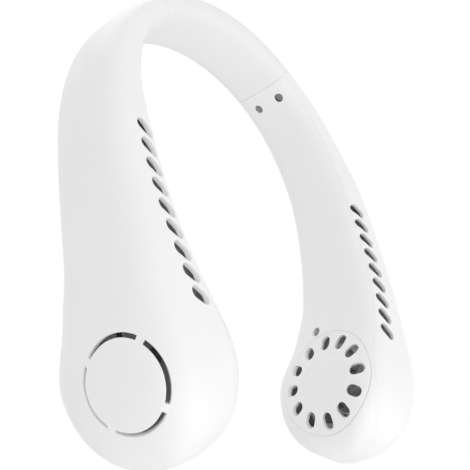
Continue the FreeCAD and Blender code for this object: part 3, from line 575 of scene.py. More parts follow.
def smooth_step(value: np.ndarray, ends: tuple[float, float]) -> np.ndarray:
    """Smooth rise t^2 (3 - 2 t) from 0 at the first end to 1 at the second one."""
    t = np.clip((value - ends[0]) / (ends[1] - ends[0]), 0.0, 1.0)
    return t * t * (3 - 2 * t)


@dataclass
class Sheet:
    """Wall over a grid of runs and turns, with rounded openings and a rounded rim.

    The outer skin lies below the form's surface by the dip and the inner skin by the wall. Round each
    opening, rings pass from the block's border to the outline, over a quarter-round edge and down the wall
    to the inner skin.
    """

    run: np.ndarray
    turn: np.ndarray
    dip: np.ndarray
    wall: float
    edge: float
    openings: Sequence[Opening] = ()
    wrapped: bool = False
    outer: np.ndarray = field(init=False)
    inner: np.ndarray = field(init=False)

    def loop(self, opening: Opening) -> Pair:
        """Grid places round an opening's block, in order.

        Args:
            opening: opening whose block is followed.

        Returns:
            Rows and columns of the places.
        """
        (top, low), (first, last) = opening.rows, opening.columns
        across, along = np.ones(last - first, int), np.ones(low - top, int)
        rows = [across * top, np.arange(top, low), across * low, np.arange(low, top, -1)]
        columns = [np.arange(first, last), along * last, np.arange(last, first, -1), along * first]
        return np.concatenate(rows), np.concatenate(columns)

    def places(self, rows: np.ndarray, columns: np.ndarray) -> tuple[np.ndarray, np.ndarray, np.ndarray]:
        """Runs, turns and dips of grid places, with the columns counted round a wrapped sheet."""
        columns = columns % self.run.shape[1]
        return self.run[rows, columns], self.turn[rows, columns], self.dip[rows, columns]

    def build(self, patch: Patch) -> list[Pair]:
        """Adds both skins and the walls of the openings to a patch.

        Args:
            patch: patch that takes the places and faces.

        Returns:
            Numbers of the outer and inner skin's border loops, one pair for each block that stays open.
        """
        self.outer = patch.add(self.run, self.turn, self.dip)
        self.inner = patch.add(self.run, self.turn, np.full_like(self.run, self.wall))
        if self.wrapped:
            self.outer = np.concatenate([self.outer, self.outer[:, :1]], 1)
            self.inner = np.concatenate([self.inner, self.inner[:, :1]], 1)
        kept = np.ones((self.outer.shape[0] - 1, self.outer.shape[1] - 1), bool)
        open_loops = []
        for opening in self.openings:
            kept[slice(*opening.rows), slice(*opening.columns)] = False
            rows, columns = self.loop(opening)
            if opening.corner == 0:
                open_loops.append((self.outer[rows, columns], self.inner[rows, columns]))
            else:
                self.surround(patch, opening, rows, columns)
        patch.grid(self.outer, kept)
        patch.grid(self.inner, kept)
        return open_loops

    def surround(self, patch: Patch, opening: Opening, rows: np.ndarray, columns: np.ndarray) -> None:
        """Adds an opening's rings, from its border in the outer skin over edge and wall to the inner skin.

        Args:
            patch: patch that takes the places and faces.
            opening: opening that is made.
            rows: rows of the border's places.
            columns: columns of the border's places.
        """
        run, turn, dip = self.places(rows, columns)
        local = opening.sight.flat(FORM.place(run, turn, np.zeros_like(run)))
        wide = self.follow(turn, *opening.sight.trace(opening.outline(local, opening.edge)))
        tight = self.follow(turn, *opening.sight.trace(opening.outline(local, 0.0)))
        rings = [self.outer[rows, columns]]
        for share in even_shares(run, turn, *wide):
            rings.append(patch.add(run + (wide[0] - run) * share, turn + (wide[1] - turn) * share, dip))
        for angle in QUARTER_ROUND:
            share = np.sin(angle)
            ring_run = wide[0] + (tight[0] - wide[0]) * share
            ring_turn = wide[1] + (tight[1] - wide[1]) * share
            rings.append(patch.add(ring_run, ring_turn, dip + opening.edge * (1 - np.cos(angle))))
        rings.append(patch.add(tight[0], tight[1], np.array(self.wall)))
        rings.append(self.inner[rows, columns])
        patch.strips(rings, True)

    @staticmethod
    def follow(turn: np.ndarray, run: np.ndarray, traced: np.ndarray) -> Pair:
        """Traced runs and turns, with the turns brought to the same round as the grid's."""
        return run, traced + 2 * np.pi * np.round((turn - traced) / (2 * np.pi))

    def border(self) -> Pair:
        """Grid places from the tip up the first column, along the first row and down the last column.

        Returns:
            Rows and columns of the places.
        """
        rows, columns = self.run.shape
        up, down = np.arange(rows - 1, 0, -1), np.arange(1, rows)
        border_rows = np.concatenate([up, np.zeros(columns, int), down])
        border_columns = np.concatenate([up * 0, np.arange(columns), down * 0 + columns - 1])
        return border_rows, border_columns

    def rim(self, patch: Patch, border: Pair, edge: Pair, closed: bool) -> None:
        """Adds a quarter-round rim from border places out to an edge line and down to the inner skin.

        Args:
            patch: patch that takes the places and faces.
            border: rows and columns of the border's places.
            edge: runs and turns of the edge line.
            closed: whether the rim's ends are joined.
        """
        run, turn, _ = self.places(*border)
        edge_run, edge_turn = edge
        rings = [self.outer[border]]
        for angle in QUARTER_ROUND[1:]:
            share = np.sin(angle)
            inset = np.array(self.edge * (1 - np.cos(angle)))
            rings.append(patch.add(run + (edge_run - run) * share, turn + (edge_turn - turn) * share, inset))
        rings.append(patch.add(edge_run, edge_turn, np.array(self.wall)))
        rings.append(self.inner[border])
        patch.strips(rings, closed)


def mesh_object(name: str, points: np.ndarray, faces: np.ndarray, side: Side) -> bpy.types.Object:
    """Mesh piece from points on the left half, with doubles merged and smooth shading up to the crease angle.

    Args:
        name: name of the piece.
        points: points on the left half, in millimetres.
        faces: quads as rows of point numbers.
        side: half of the loop that the piece stands on.

    Returns:
        The linked object, untransformed.
    """
    points = points * np.array([side.sign, 1.0, 1.0]) * MILLIMETRE
    mesh = bpy.data.meshes.new(name)
    mesh.from_pydata(points, [], faces.tolist())
    work = bmesh.new()
    work.from_mesh(mesh)
    bmesh.ops.remove_doubles(work, verts=work.verts, dist=MERGE_DISTANCE)
    bmesh.ops.dissolve_degenerate(work, edges=work.edges, dist=THIN_EDGE)
    bmesh.ops.recalc_face_normals(work, faces=work.faces)
    work.to_mesh(mesh)
    work.free()
    mesh.shade_smooth()
    mesh.set_sharp_from_angle(angle=np.radians(CREASE_ANGLE))
    mesh.update()
    piece = bpy.data.objects.new(name, mesh)
    bpy.context.scene.collection.objects.link(piece)
    return piece


def patch_object(name: str, patch: Patch, side: Side) -> bpy.types.Object:
    """Mesh piece from all places and faces of a patch."""
    return mesh_object(name, patch.points(), np.concatenate(patch.faces), side)


def swept_object(name: str, run: np.ndarray, profile: np.ndarray, side: Side) -> bpy.types.Object:
    """Closed bar: a profile of outward and sideways offsets carried along the centre line, with capped ends.

    Args:
        name: name of the piece.
        run: distances of the sections.
        profile: offsets (outward, aside) round the section, in order.
        side: half of the loop that the piece stands on.

    Returns:
        The linked object, untransformed.
    """
    middle = np.repeat(profile.mean(0, keepdims=True), len(profile), 0)
    rings = np.stack([middle, *([profile] * len(run)), middle])
    runs = np.concatenate([run[:1], run, run[-1:]])
    centre, _, out, across = FORM.path(runs)
    points = centre[:, None] + rings[..., :1] * out[:, None] + rings[..., 1:] * across[:, None]
    numbers = np.arange(rings.shape[0] * rings.shape[1]).reshape(rings.shape[:2])
    patch = Patch()
    patch.strips(list(numbers), True)
    return mesh_object(name, points.reshape(-1, 3), np.concatenate(patch.faces), side)


def grain_group() -> bpy.types.NodeTree:
    """Shared node group: fine mottling of colour and roughness and a soft grain in the normal.

    Returns:
        The group, with inputs for its scale, shades, roughnesses and relief.
    """
    group = bpy.data.node_groups.new("moulded_grain", "ShaderNodeTree")
    number, shade, direction = "NodeSocketFloat", "NodeSocketColor", "NodeSocketVector"
    inputs = {
        "Scale": number,
        "Light": shade,
        "Dark": shade,
        "Smooth": number,
        "Rough": number,
        "Relief": number,
    }
    outputs = {"Color": shade, "Roughness": number, "Normal": direction}
    for name, kind in inputs.items():
        group.interface.new_socket(name, in_out="INPUT", socket_type=kind)
    for name, kind in outputs.items():
        group.interface.new_socket(name, in_out="OUTPUT", socket_type=kind)
    nodes, links = group.nodes, group.links
    source = nodes.new("NodeGroupInput")
    target = nodes.new("NodeGroupOutput")
    place = nodes.new("ShaderNodeTexCoord")
    broad = nodes.new("ShaderNodeTexNoise")
    broad.inputs["Scale"].default_value = MOTTLE_SCALE
    broad.inputs["Detail"].default_value = MOTTLE_DETAIL
    fine = nodes.new("ShaderNodeTexNoise")
    fine.inputs["Detail"].default_value = GRAIN_DETAIL
    mix = nodes.new("ShaderNodeMix")
    mix.data_type = "RGBA"
    spread = nodes.new("ShaderNodeMapRange")
    bump = nodes.new("ShaderNodeBump")
    bump.inputs["Distance"].default_value = GRAIN_DEPTH
    links.new(place.outputs["Object"], broad.inputs["Vector"])
    links.new(place.outputs["Object"], fine.inputs["Vector"])
    links.new(source.outputs["Scale"], fine.inputs["Scale"])
    links.new(broad.outputs["Fac"], mix.inputs["Factor"])
    links.new(source.outputs["Dark"], mix.inputs["A"])
    links.new(source.outputs["Light"], mix.inputs["B"])
    links.new(fine.outputs["Fac"], spread.inputs["Value"])
    links.new(source.outputs["Smooth"], spread.inputs["To Min"])
    links.new(source.outputs["Rough"], spread.inputs["To Max"])
    links.new(fine.outputs["Fac"], bump.inputs["Height"])
    links.new(source.outputs["Relief"], bump.inputs["Strength"])
    links.new(mix.outputs["Result"], target.inputs["Color"])
    links.new(spread.outputs["Result"], target.inputs["Roughness"])
    links.new(bump.outputs["Normal"], target.inputs["Normal"])
    return group


@dataclass(frozen=True)
class Finish:
    """Procedural finish of one material slot: two shades, two roughnesses and a fine relief."""

    slot: str
    light: Colour
    dark: Colour
    smooth: float
    rough: float
    scale: float = 1800.0
    relief: float = 0.15
    metallic: float = 0.0
    transmission: float = 0.0
    subsurface: float = 0.0
    subsurface_depth: float = 0.001

    def build(self, group: bpy.types.NodeTree) -> bpy.types.Material:
        """Material with the shared grain on a principled shader.

        Args:
            group: the shared grain.

        Returns:
            The material, named as its slot.
        """
        material = bpy.data.materials.new(self.slot)
        material.use_nodes = True
        nodes, links = material.node_tree.nodes, material.node_tree.links
        shader = nodes["Principled BSDF"]
        grain = nodes.new("ShaderNodeGroup")
        grain.node_tree = group
        grain.inputs["Scale"].default_value = self.scale
        grain.inputs["Light"].default_value = (*self.light, 1.0)
        grain.inputs["Dark"].default_value = (*self.dark, 1.0)
        grain.inputs["Smooth"].default_value = self.smooth
        grain.inputs["Rough"].default_value = self.rough
        grain.inputs["Relief"].default_value = self.relief
        shader.inputs["Metallic"].default_value = self.metallic
        shader.inputs["Transmission Weight"].default_value = self.transmission
        shader.inputs["Subsurface Weight"].default_value = self.subsurface
        shader.inputs["Subsurface Radius"].default_value = (1.0, 1.0, 1.0)
        shader.inputs["Subsurface Scale"].default_value = self.subsurface_depth
        links.new(grain.outputs["Color"], shader.inputs["Base Color"])
        links.new(grain.outputs["Roughness"], shader.inputs["Roughness"])
        links.new(grain.outputs["Normal"], shader.inputs["Normal"])
        return material


FINISHES = (
    Finish("white_shell", (0.90, 0.90, 0.90), (0.87, 0.87, 0.872), 0.30, 0.38, relief=0.06, subsurface=0.25),
    Finish("soft_band", (0.88, 0.88, 0.88), (0.85, 0.85, 0.852), 0.52, 0.64, relief=0.12),
    Finish("pale_fan", (0.90, 0.90, 0.90), (0.86, 0.86, 0.865), 0.40, 0.52),
    Finish("dark_steel", (0.30, 0.30, 0.31), (0.22, 0.22, 0.23), 0.30, 0.44, metallic=0.9),
    Finish("bright_steel", (0.70, 0.70, 0.70), (0.60, 0.60, 0.61), 0.22, 0.34, metallic=1.0),
    Finish("core_steel", (0.22, 0.17, 0.11), (0.16, 0.12, 0.08), 0.42, 0.58, metallic=0.6),
    Finish("magnet", (0.13, 0.13, 0.14), (0.09, 0.09, 0.10), 0.45, 0.60, metallic=0.3),
    Finish("bearing_brass", (0.66, 0.49, 0.24), (0.55, 0.40, 0.19), 0.30, 0.45, metallic=0.9),
    Finish("motor_base", (0.42, 0.43, 0.44), (0.35, 0.36, 0.37), 0.35, 0.48, metallic=0.8),
    Finish("cell_foil", (0.66, 0.67, 0.68), (0.57, 0.58, 0.59), 0.30, 0.48, metallic=0.7),
    Finish("lead_jacket", (0.060, 0.060, 0.064), (0.040, 0.040, 0.043), 0.45, 0.60),
    Finish("board_green", (0.060, 0.200, 0.110), (0.040, 0.150, 0.080), 0.30, 0.45),
    Finish("switch_black", (0.055, 0.055, 0.060), (0.035, 0.035, 0.038), 0.40, 0.55),
    Finish("clear_plastic", (0.93, 0.94, 0.95), (0.90, 0.91, 0.92), 0.08, 0.14, transmission=0.85),
)


class Palette:
    """All finishes as materials, ready to be put on pieces."""

    def __init__(self) -> None:
        """Builds the shared grain and every finish."""
        group = grain_group()
        self.materials: dict[str, bpy.types.Material] = {}
        for finish in FINISHES:
            self.materials[finish.slot] = finish.build(group)

    def paint(self, piece: bpy.types.Object, slot: str) -> None:
        """Puts the finish of a slot on a piece, in place of what it had."""
        piece.data.materials.clear()
        piece.data.materials.append(self.materials[slot])


@dataclass
class SubAssembly:
    """Pieces that are built and dressed together."""

    pieces: list[bpy.types.Object] = field(default_factory=list, init=False)

    def build(self) -> None:
        """Makes the pieces, in each sub-assembly's own way."""
        raise NotImplementedError

    def dress(self, palette: Palette) -> None:
        """Puts the finish of its own slot on every piece."""
        for piece in self.pieces:
            palette.paint(piece, piece["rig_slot"])


@dataclass(frozen=True)
class Control:
    """Opening on the +Y edge for one control: its place along the board, half sizes and spare columns."""

    along: float
    half: tuple[float, float]
    spare: int


@dataclass
class ArmShells(SubAssembly):
    """The two shells and the vent cover of one arm, as sheets over grids of runs (rows) and turns (columns).

    The outer shell's columns go from the -Y parting over two rim columns, the slotted edge, a corner, the
    outer face, a shoulder, the edge of the controls and two rim columns to the +Y parting. The groove is
    given by circles and their depths, and a screw by its distance, its offset across the arm and the number
    of columns to each side of it.
    """

    side: Side
    wall: float = 1.8
    rim_edge: float = 0.04
    rim_support: float = 0.06
    rim_columns: int = 2
    parting_gap: float = 0.02
    parting_margin: float = 0.12
    top_rows: int = 65
    slot_rows: int = 8
    end_rows: int = 62
    edge_columns: int = 13
    corner_columns: int = 17
    face_columns: int = 41
    shoulder_columns: int = 31
    face_turns: tuple[float, float] = (-52.5, 25.6)
    tip_spread: float = 0.25
    slot_count: int = 9
    slot_first: float = 127.0
    slot_pitch: float = 8.2
    slot_half: tuple[float, float] = (4.4, 2.45)
    slot_edge: float = 0.35
    slot_slant: float = 54.0
    slot_share: float = -0.33
    slot_reach: float = 4.6
    slant_rise: tuple[float, float] = (92.0, 116.0)
    slant_fall: tuple[float, float] = (202.0, 226.0)
    control_heights: tuple[float, float] = (-7.9, -0.1)
    control_edge: float = 0.2
    control_margin: float = 0.5
    board_at: float = 150.0
    board_outward: float = -4.0
    controls: tuple[Control, ...] = (
        Control(-13.0, (4.7, 1.85), 2),
        Control(0.0, (1.2, 1.2), 3),
        Control(12.0, (5.8, 3.0), 0),
    )
    ring_radii: tuple[float, float] = (15.0, 16.6)
    ring_edge: float = 0.25
    ring_corner: float = 0.3
    ring_block_at: float = 192.6
    ring_circles: tuple[float, ...] = (
        18.5, 18.0, 17.6, 17.25, 16.5, 15.8, 15.1, 14.35,
        13.6, 11.5, 9.5, 7.0, 4.0, 1.5, 0.0,
    )
    ring_rows: tuple[int, int] = (3, 7)
    bridge_count: int = 4
    bridge_width: float = 3.0
    bridge_phase: float = 43.0
    disc_rise: float = 0.5
    cover_radius: float = 23.4
    cover_gap: float = 0.3
    cover_snug: float = 0.25
    cover_edge: float = 0.2
    cover_circles: tuple[float, ...] = (
        22.55, 21.0, 19.6, 18.3, 17.0, 15.6, 14.05, 13.2, 12.3,
        12.05, 11.8, 11.55, 11.3, 9.5, 7.0, 4.0, 1.5, 0.0,
    )
    groove: tuple[tuple[float, float], ...] = ((12.05, 0.1), (11.8, 0.15), (11.55, 0.1))
    hole_circle: float = 18.3
    hole_half: tuple[float, float] = (3.5, 2.45)
    hole_edge: float = 0.2
    hole_count: int = 12
    hole_rows: tuple[int, int] = (1, 7)
    hole_columns: int = 10
    lid_top_rows: int = 131
    vent_rows: int = 52
    lid_end_rows: int = 15
    lid_columns: int = 57
    lid_shares: tuple[float, float] = (0.97, 0.997)
    vent_runs: tuple[float, float] = (188.4, 244.4)
    vent_columns: tuple[int, int] = (5, 59)
    screw_radius: float = 2.2
    screw_rows: int = 3
    screws: tuple[tuple[float, float, int], ...] = ((53.011, 6.7, 6), (53.011, -6.7, 6), (185.0, 7.48, 4))

    def slot_centre(self, run: np.ndarray) -> np.ndarray:
        """Height of the row of air slots: a share of the half thickness."""
        return self.slot_share * FORM.column("thickness", run) / 2

    def outer_rows(self) -> np.ndarray:
        """Runs of the outer shell's rows: even in the slotted stretch, with the slots' blocks on whole rows.

        Returns:
            Runs from the seam to the tip.
        """
        half_block = self.slot_pitch / self.slot_rows * (self.slot_rows // 2)
        first = self.slot_first - half_block
        last = self.slot_first + self.slot_pitch * (self.slot_count - 1) + half_block
        top = np.linspace(FORM.seam_at + self.rim_edge, first, self.top_rows + 1)
        middle = np.linspace(first, last, self.slot_rows * self.slot_count + 1)
        end = np.linspace(last, FORM.tip_at, self.end_rows + 1)
        return np.concatenate([top[:-1], middle, end[1:]])

    def edge_turns(self, run: np.ndarray, low: np.ndarray, high: np.ndarray, face: float) -> list[np.ndarray]:
        """Turns at even heights on an edge, held to even steps of turn where the heights close up at the tip.

        Args:
            run: runs of the rows.
            low: height of the first turn.
            high: height of the last turn.
            face: turn at which the outer face begins.

        Returns:
            One array of turns for each column from low to high.
        """
        edge = FORM.turn_at(run, low)
        turns = []
        for share in np.linspace(0, 1, self.edge_columns):
            turn = FORM.turn_at(run, low + (high - low) * share)
            turns.append(np.minimum(turn, edge - self.tip_spread * share * (edge - face)))
        return turns

    def outer_columns(self, run: np.ndarray) -> np.ndarray:
        """Turns of the outer shell's columns, from the -Y parting round the outer face to the +Y one.

        The edges' columns lie at even heights, the face's at even turns, and the corner's and the shoulder's
        at even shares of the way between them.

        Args:
            run: runs of any shape.

        Returns:
            Turns, with the columns in an added last axis.
        """
        zero = np.zeros_like(run)
        parting = FORM.parting_height(run) + self.parting_gap / 2
        centre = self.slot_centre(run)
        face_first, face_last = np.radians(self.face_turns)
        low = np.maximum(centre - self.slot_reach, parting + self.parting_margin)
        front = [-turn for turn in self.edge_turns(run, low, centre + self.slot_reach, -face_first)]
        low = np.maximum(zero + self.control_heights[0], parting + self.parting_margin)
        back = self.edge_turns(run, low, zero + self.control_heights[1], face_last)
        face = [zero + turn for turn in np.linspace(face_first, face_last, self.face_columns)]
        corner = [front[-1] + (face_first - front[-1]) * share for share in between(self.corner_columns)]
        shoulder = [face_last + (back[-1] - face_last) * share for share in between(self.shoulder_columns)]
        rim = [FORM.turn_at(run, parting), FORM.turn_at(run, parting + self.rim_support)]
        front_rim = [-turn for turn in rim]
        return np.stack([*front_rim, *front, *corner, *face, *shoulder, *back[::-1], *rim[::-1]], -1)

    def outer_grid(self) -> Pair:
        """Grid of the outer shell, whose slotted columns are shifted along the arm so that the blocks slant.

        Returns:
            Runs and turns of the grid's places.
        """
        rows = self.outer_rows()
        heights = np.linspace(-self.slot_reach, self.slot_reach, self.edge_columns)
        fading = heights[-1] * between(self.corner_columns)[::-1]
        lifts = np.concatenate([np.repeat(heights[:1], self.rim_columns), heights, fading])
        level = self.face_columns + self.shoulder_columns + self.edge_columns + self.rim_columns
        shift = np.concatenate([lifts, np.zeros(level)]) / np.tan(np.radians(self.slot_slant))
        hold = smooth_step(rows, self.slant_rise) * (1 - smooth_step(rows, self.slant_fall))
        run = rows[:, None] + self.side.sign * hold[:, None] * shift[None, :]
        return run, np.diagonal(self.outer_columns(run), axis1=1, axis2=2)

    def slot_openings(self) -> list[Opening]:
        """The row of slanted air slots on the -Y edge.

        Returns:
            One opening for each slot.
        """
        rows = self.outer_rows()
        columns = (self.rim_columns, self.rim_columns + self.edge_columns - 1)
        slant = self.slot_slant * self.side.sign
        found = []
        for distance in self.slot_first + self.slot_pitch * np.arange(self.slot_count):
            sight = arm_sight(distance, self.slot_centre(distance), 0.0, Face.FRONT, slant)
            top = int(np.argmin(np.abs(rows - distance))) - self.slot_rows // 2
            block = (top, top + self.slot_rows)
            found.append(Opening(sight, self.slot_half, self.slot_half[1], block, columns, self.slot_edge))
        return found

    def control_openings(self) -> list[Opening]:
        """Openings for the socket, the light and the button on the +Y edge.

        Returns:
            One opening for each control.
        """
        rows = self.outer_rows()
        base = arm_sight(self.board_at, self.board_outward, 0.0, Face.BACK)
        before = self.rim_columns + self.edge_columns + self.corner_columns
        first = before + self.face_columns + self.shoulder_columns
        found = []
        for control in self.controls:
            distance = self.board_at + control.along
            half = control.half
            origin = base.origin + base.x_axis * control.along
            sight = Sight(origin, base.x_axis, base.y_axis, base.axis, distance)
            reach = half[0] + self.control_margin
            top = int(np.searchsorted(rows, distance - reach)) - 1
            low = int(np.searchsorted(rows, distance + reach))
            columns = (first + control.spare, first + self.edge_columns - 1 - control.spare)
            found.append(Opening(sight, half, half[1], (top, low), columns, self.control_edge))
        return found

    def ring_openings(self, sight: Sight, start: float, sense: float, count: int) -> list[Opening]:
        """The arc slots of the intake ring, between its bridges.

        Args:
            sight: sight along the fan's axis.
            start: angle of the first bridge.
            sense: 1 or -1, the way in which the polar sheet's columns go round.
            count: number of these columns.

        Returns:
            One opening for each slot.
        """
        inside, outside = self.ring_radii
        middle = (inside + outside) / 2
        share = 2 * np.pi / self.bridge_count
        half = (share / 2 * middle - self.bridge_width / 2, (outside - inside) / 2)
        span = count // self.bridge_count
        found = []
        for k in range(self.bridge_count):
            bearing = start + sense * (k + 0.5) * share
            arc = ArcSight(sight.origin, sight.x_axis, sight.y_axis, sight.axis, sight.near, bearing, middle)
            columns = (span * k + 1, span * (k + 1) - 1)
            found.append(Opening(arc, half, self.ring_corner, self.ring_rows, columns, self.ring_edge))
        return found

    def ring_infill(self, patch: Patch, outer: np.ndarray, inner: np.ndarray) -> None:
        """Adds a polar sheet from the open block on the outer face to the disc's middle, with the arc slots.

        The disc rises evenly over the slots' rows. The columns start at a bridge, from the border place that
        is nearest to it.

        Args:
            patch: patch that takes the places and faces.
            outer: numbers of the block's border in the outer skin.
            inner: numbers of the block's border in the inner skin.
        """
        sight = FAN.sight(False)
        run, turn, _ = np.concatenate(patch.places)[outer].T
        local = sight.flat(FORM.place(run, turn, np.zeros_like(run)))
        angles = np.unwrap(np.arctan2(local[:, 1], local[:, 0]))
        sense = np.sign(angles[-1] - angles[0])
        phase = np.radians(self.bridge_phase)
        start = int(np.argmin(np.abs(np.angle(np.exp(1j * (angles - phase))))))
        outer, inner, run, turn = (np.roll(values, -start) for values in (outer, inner, run, turn))
        count = len(outer)
        angle = phase + sense * 2 * np.pi * np.arange(count) / count
        circles = np.array(self.ring_circles)
        rise_from, rise_to = circles[list(self.ring_rows)]
        dips = -self.disc_rise * np.clip((rise_from - circles) / (rise_from - rise_to), 0.0, 1.0)
        polar = np.stack([np.cos(angle), np.sin(angle)], -1)
        traced = sight.trace(circles[:, None, None] * polar)
        openings = self.ring_openings(sight, angle[0], sense, count)
        sheet = Sheet(*traced, np.repeat(dips[:, None], count, 1), self.wall, self.ring_edge, openings, True)
        sheet.build(patch)
        near_run, near_turn = traced[0][0], traced[1][0]
        skins = ((outer, sheet.outer[0, :-1], 0.0), (inner, sheet.inner[0, :-1], self.wall))
        for border, ring, inset in skins:
            rings = [border]
            for share in even_shares(run, turn, near_run, near_turn):
                between_run = run + (near_run - run) * share
                between_turn = turn + (near_turn - turn) * share
                rings.append(patch.add(between_run, between_turn, np.array(inset)))
            patch.strips([*rings, ring], True)

    def finish_rim(self, sheet: Sheet, patch: Patch) -> None:
        """Adds the rim along the parting and the seam: its edge line lies one edge radius outside the border.

        Args:
            sheet: shell that gets the rim.
            patch: patch that takes the places and faces.
        """
        border = sheet.border()
        rows, columns = border
        run, turn, flat = sheet.places(rows, columns)
        ahead = FORM.place(run, turn + TURN_STEP, flat) - FORM.place(run, turn, flat)
        pace = np.linalg.norm(ahead, axis=-1) / TURN_STEP
        outward = np.where(columns == 0, -1.0, np.where(columns == sheet.run.shape[1] - 1, 1.0, 0.0))
        edge_turn = turn + outward * self.rim_edge / np.maximum(pace, LEAST_PACE)
        edge_run = np.where(rows == 0, FORM.seam_at, run)
        sheet.rim(patch, border, (edge_run, edge_turn), False)

    def outer_shell(self) -> bpy.types.Object:
        """Deep outer shell with air slots, the intake ring and, on the right arm, the control openings.

        Returns:
            The mounted piece.
        """
        run, turn = self.outer_grid()
        openings = self.slot_openings()
        if self.side is Side.RIGHT:
            openings += self.control_openings()
        block = self.face_columns - 1
        top = int(np.argmin(np.abs(self.outer_rows() - self.ring_block_at)))
        first = self.rim_columns + self.edge_columns + self.corner_columns
        rows, columns = (top, top + block), (first, first + block)
        openings.append(Opening(FAN.sight(False), (0.0, 0.0), 0.0, rows, columns))
        patch = Patch()
        sheet = Sheet(run, turn, np.zeros_like(run), self.wall, self.rim_edge, openings)
        (loop,) = sheet.build(patch)
        self.ring_infill(patch, *loop)
        self.finish_rim(sheet, patch)
        return self.mount(patch_object(self.side.prefix + "_outer_case", patch, self.side), "outer_shell")

    def lid_rows(self) -> np.ndarray:
        """Runs of the inner shell's rows, with the vent's block on whole rows.

        Returns:
            Runs from the seam to the tip.
        """
        first, last = self.vent_runs
        top = np.linspace(FORM.seam_at + self.rim_edge, first, self.lid_top_rows + 1)
        vent = np.linspace(first, last, self.vent_rows + 1)
        end = np.linspace(last, FORM.tip_at, self.lid_end_rows + 1)
        return np.concatenate([top[:-1], vent, end[1:]])

    def screw_openings(self, rows: np.ndarray, shares: np.ndarray, spread: np.ndarray) -> list[Opening]:
        """Round recesses over the case screws.

        Args:
            rows: runs of the lid's rows.
            shares: shares of the lid's spread at its columns.
            spread: half of the lid's turn at each row.

        Returns:
            One opening for each screw.
        """
        half = (self.screw_radius, self.screw_radius)
        found = []
        for distance, aside, reach in self.screws:
            sight = arm_sight(distance, 0.0, aside, Face.INNER)
            _, turn = sight.trace(np.zeros((1, 2)))
            row = int(np.argmin(np.abs(rows - distance)))
            wanted = (turn[0] % (2 * np.pi) - np.pi) / spread[row]
            column = int(np.argmin(np.abs(shares - wanted)))
            block = (row - self.screw_rows, row + self.screw_rows)
            columns = (column - reach, column + reach)
            found.append(Opening(sight, half, self.screw_radius, block, columns, self.hole_edge))
        return found

    def inner_shell(self) -> bpy.types.Object:
        """Shallow inner shell with the vent's round opening and the screw recesses.

        Its columns lie at even shares of the turn from the inner face's middle to the parting. Next to the
        parting stands one more on each side.

        Returns:
            The mounted piece.
        """
        rows = self.lid_rows()
        last, support = self.lid_shares
        even = np.linspace(-last, last, self.lid_columns)
        shares = np.concatenate([[-1.0, -support], even, [support, 1.0]])
        spread = np.pi - FORM.turn_at(rows, FORM.parting_height(rows) - self.parting_gap / 2)
        turn = np.pi + shares[None, :] * spread[:, None]
        run = np.repeat(rows[:, None], len(shares), 1)
        radius = self.cover_radius + self.cover_gap
        block = (self.lid_top_rows, self.lid_top_rows + self.vent_rows)
        vent = Opening(FAN.sight(True), (radius, radius), radius, block, self.vent_columns, self.rim_edge)
        openings = [vent, *self.screw_openings(rows, shares, spread)]
        patch = Patch()
        sheet = Sheet(run, turn, np.zeros_like(run), self.wall, self.rim_edge, openings)
        sheet.build(patch)
        self.finish_rim(sheet, patch)
        return self.mount(patch_object(self.side.prefix + "_inner_case", patch, self.side), "inner_shell")

    def vent_cover(self) -> bpy.types.Object:
        """Round cover over the fan: a polar sheet with a ring of oval holes and a faint ring groove.

        Returns:
            The mounted piece.
        """
        sight = FAN.sight(True)
        radius = self.cover_radius + self.cover_snug
        count = self.hole_columns * self.hole_count
        angle = 2 * np.pi * (np.arange(count) - self.hole_columns // 2) / count
        circles = np.array([radius - self.cover_edge, *self.cover_circles])
        depths = dict(self.groove)
        dips = np.array([depths.get(circle, 0.0) for circle in circles])
        polar = np.stack([np.cos(angle), np.sin(angle)], -1)
        run, turn = sight.trace(circles[:, None, None] * polar)
        half = self.hole_half
        openings = []
        for k in range(self.hole_count):
            hole = sight.turned(2 * np.pi * k / self.hole_count, self.hole_circle)
            columns = (self.hole_columns * k + 1, self.hole_columns * (k + 1) - 1)
            openings.append(Opening(hole, half, half[1], self.hole_rows, columns, self.hole_edge))
        patch = Patch()
        dip = np.repeat(dips[:, None], count, 1)
        sheet = Sheet(run, turn % (2 * np.pi), dip, self.wall, self.cover_edge, openings, True)
        sheet.build(patch)
        edge_run, edge_turn = sight.trace(radius * polar)
        border = (np.zeros(count, int), np.arange(count))
        sheet.rim(patch, border, (edge_run, edge_turn % (2 * np.pi)), True)
        return self.mount(patch_object(self.side.prefix + "_vent_grille", patch, self.side), "vent_cover")

    def mount(self, piece: bpy.types.Object, node: str) -> bpy.types.Object:
        """Lets a piece ride on the arm in place of its node.

        Args:
            piece: piece that is mounted.
            node: name of the node without the side.

        Returns:
            The same piece.
        """
        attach(piece, self.side.body)
        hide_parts(self.side.prefix + "_" + node)
        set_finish(piece, "white_shell")
        return piece

    def build(self) -> None:
        """Makes both shells and the vent cover."""
        self.pieces = [self.outer_shell(), self.inner_shell(), self.vent_cover()]


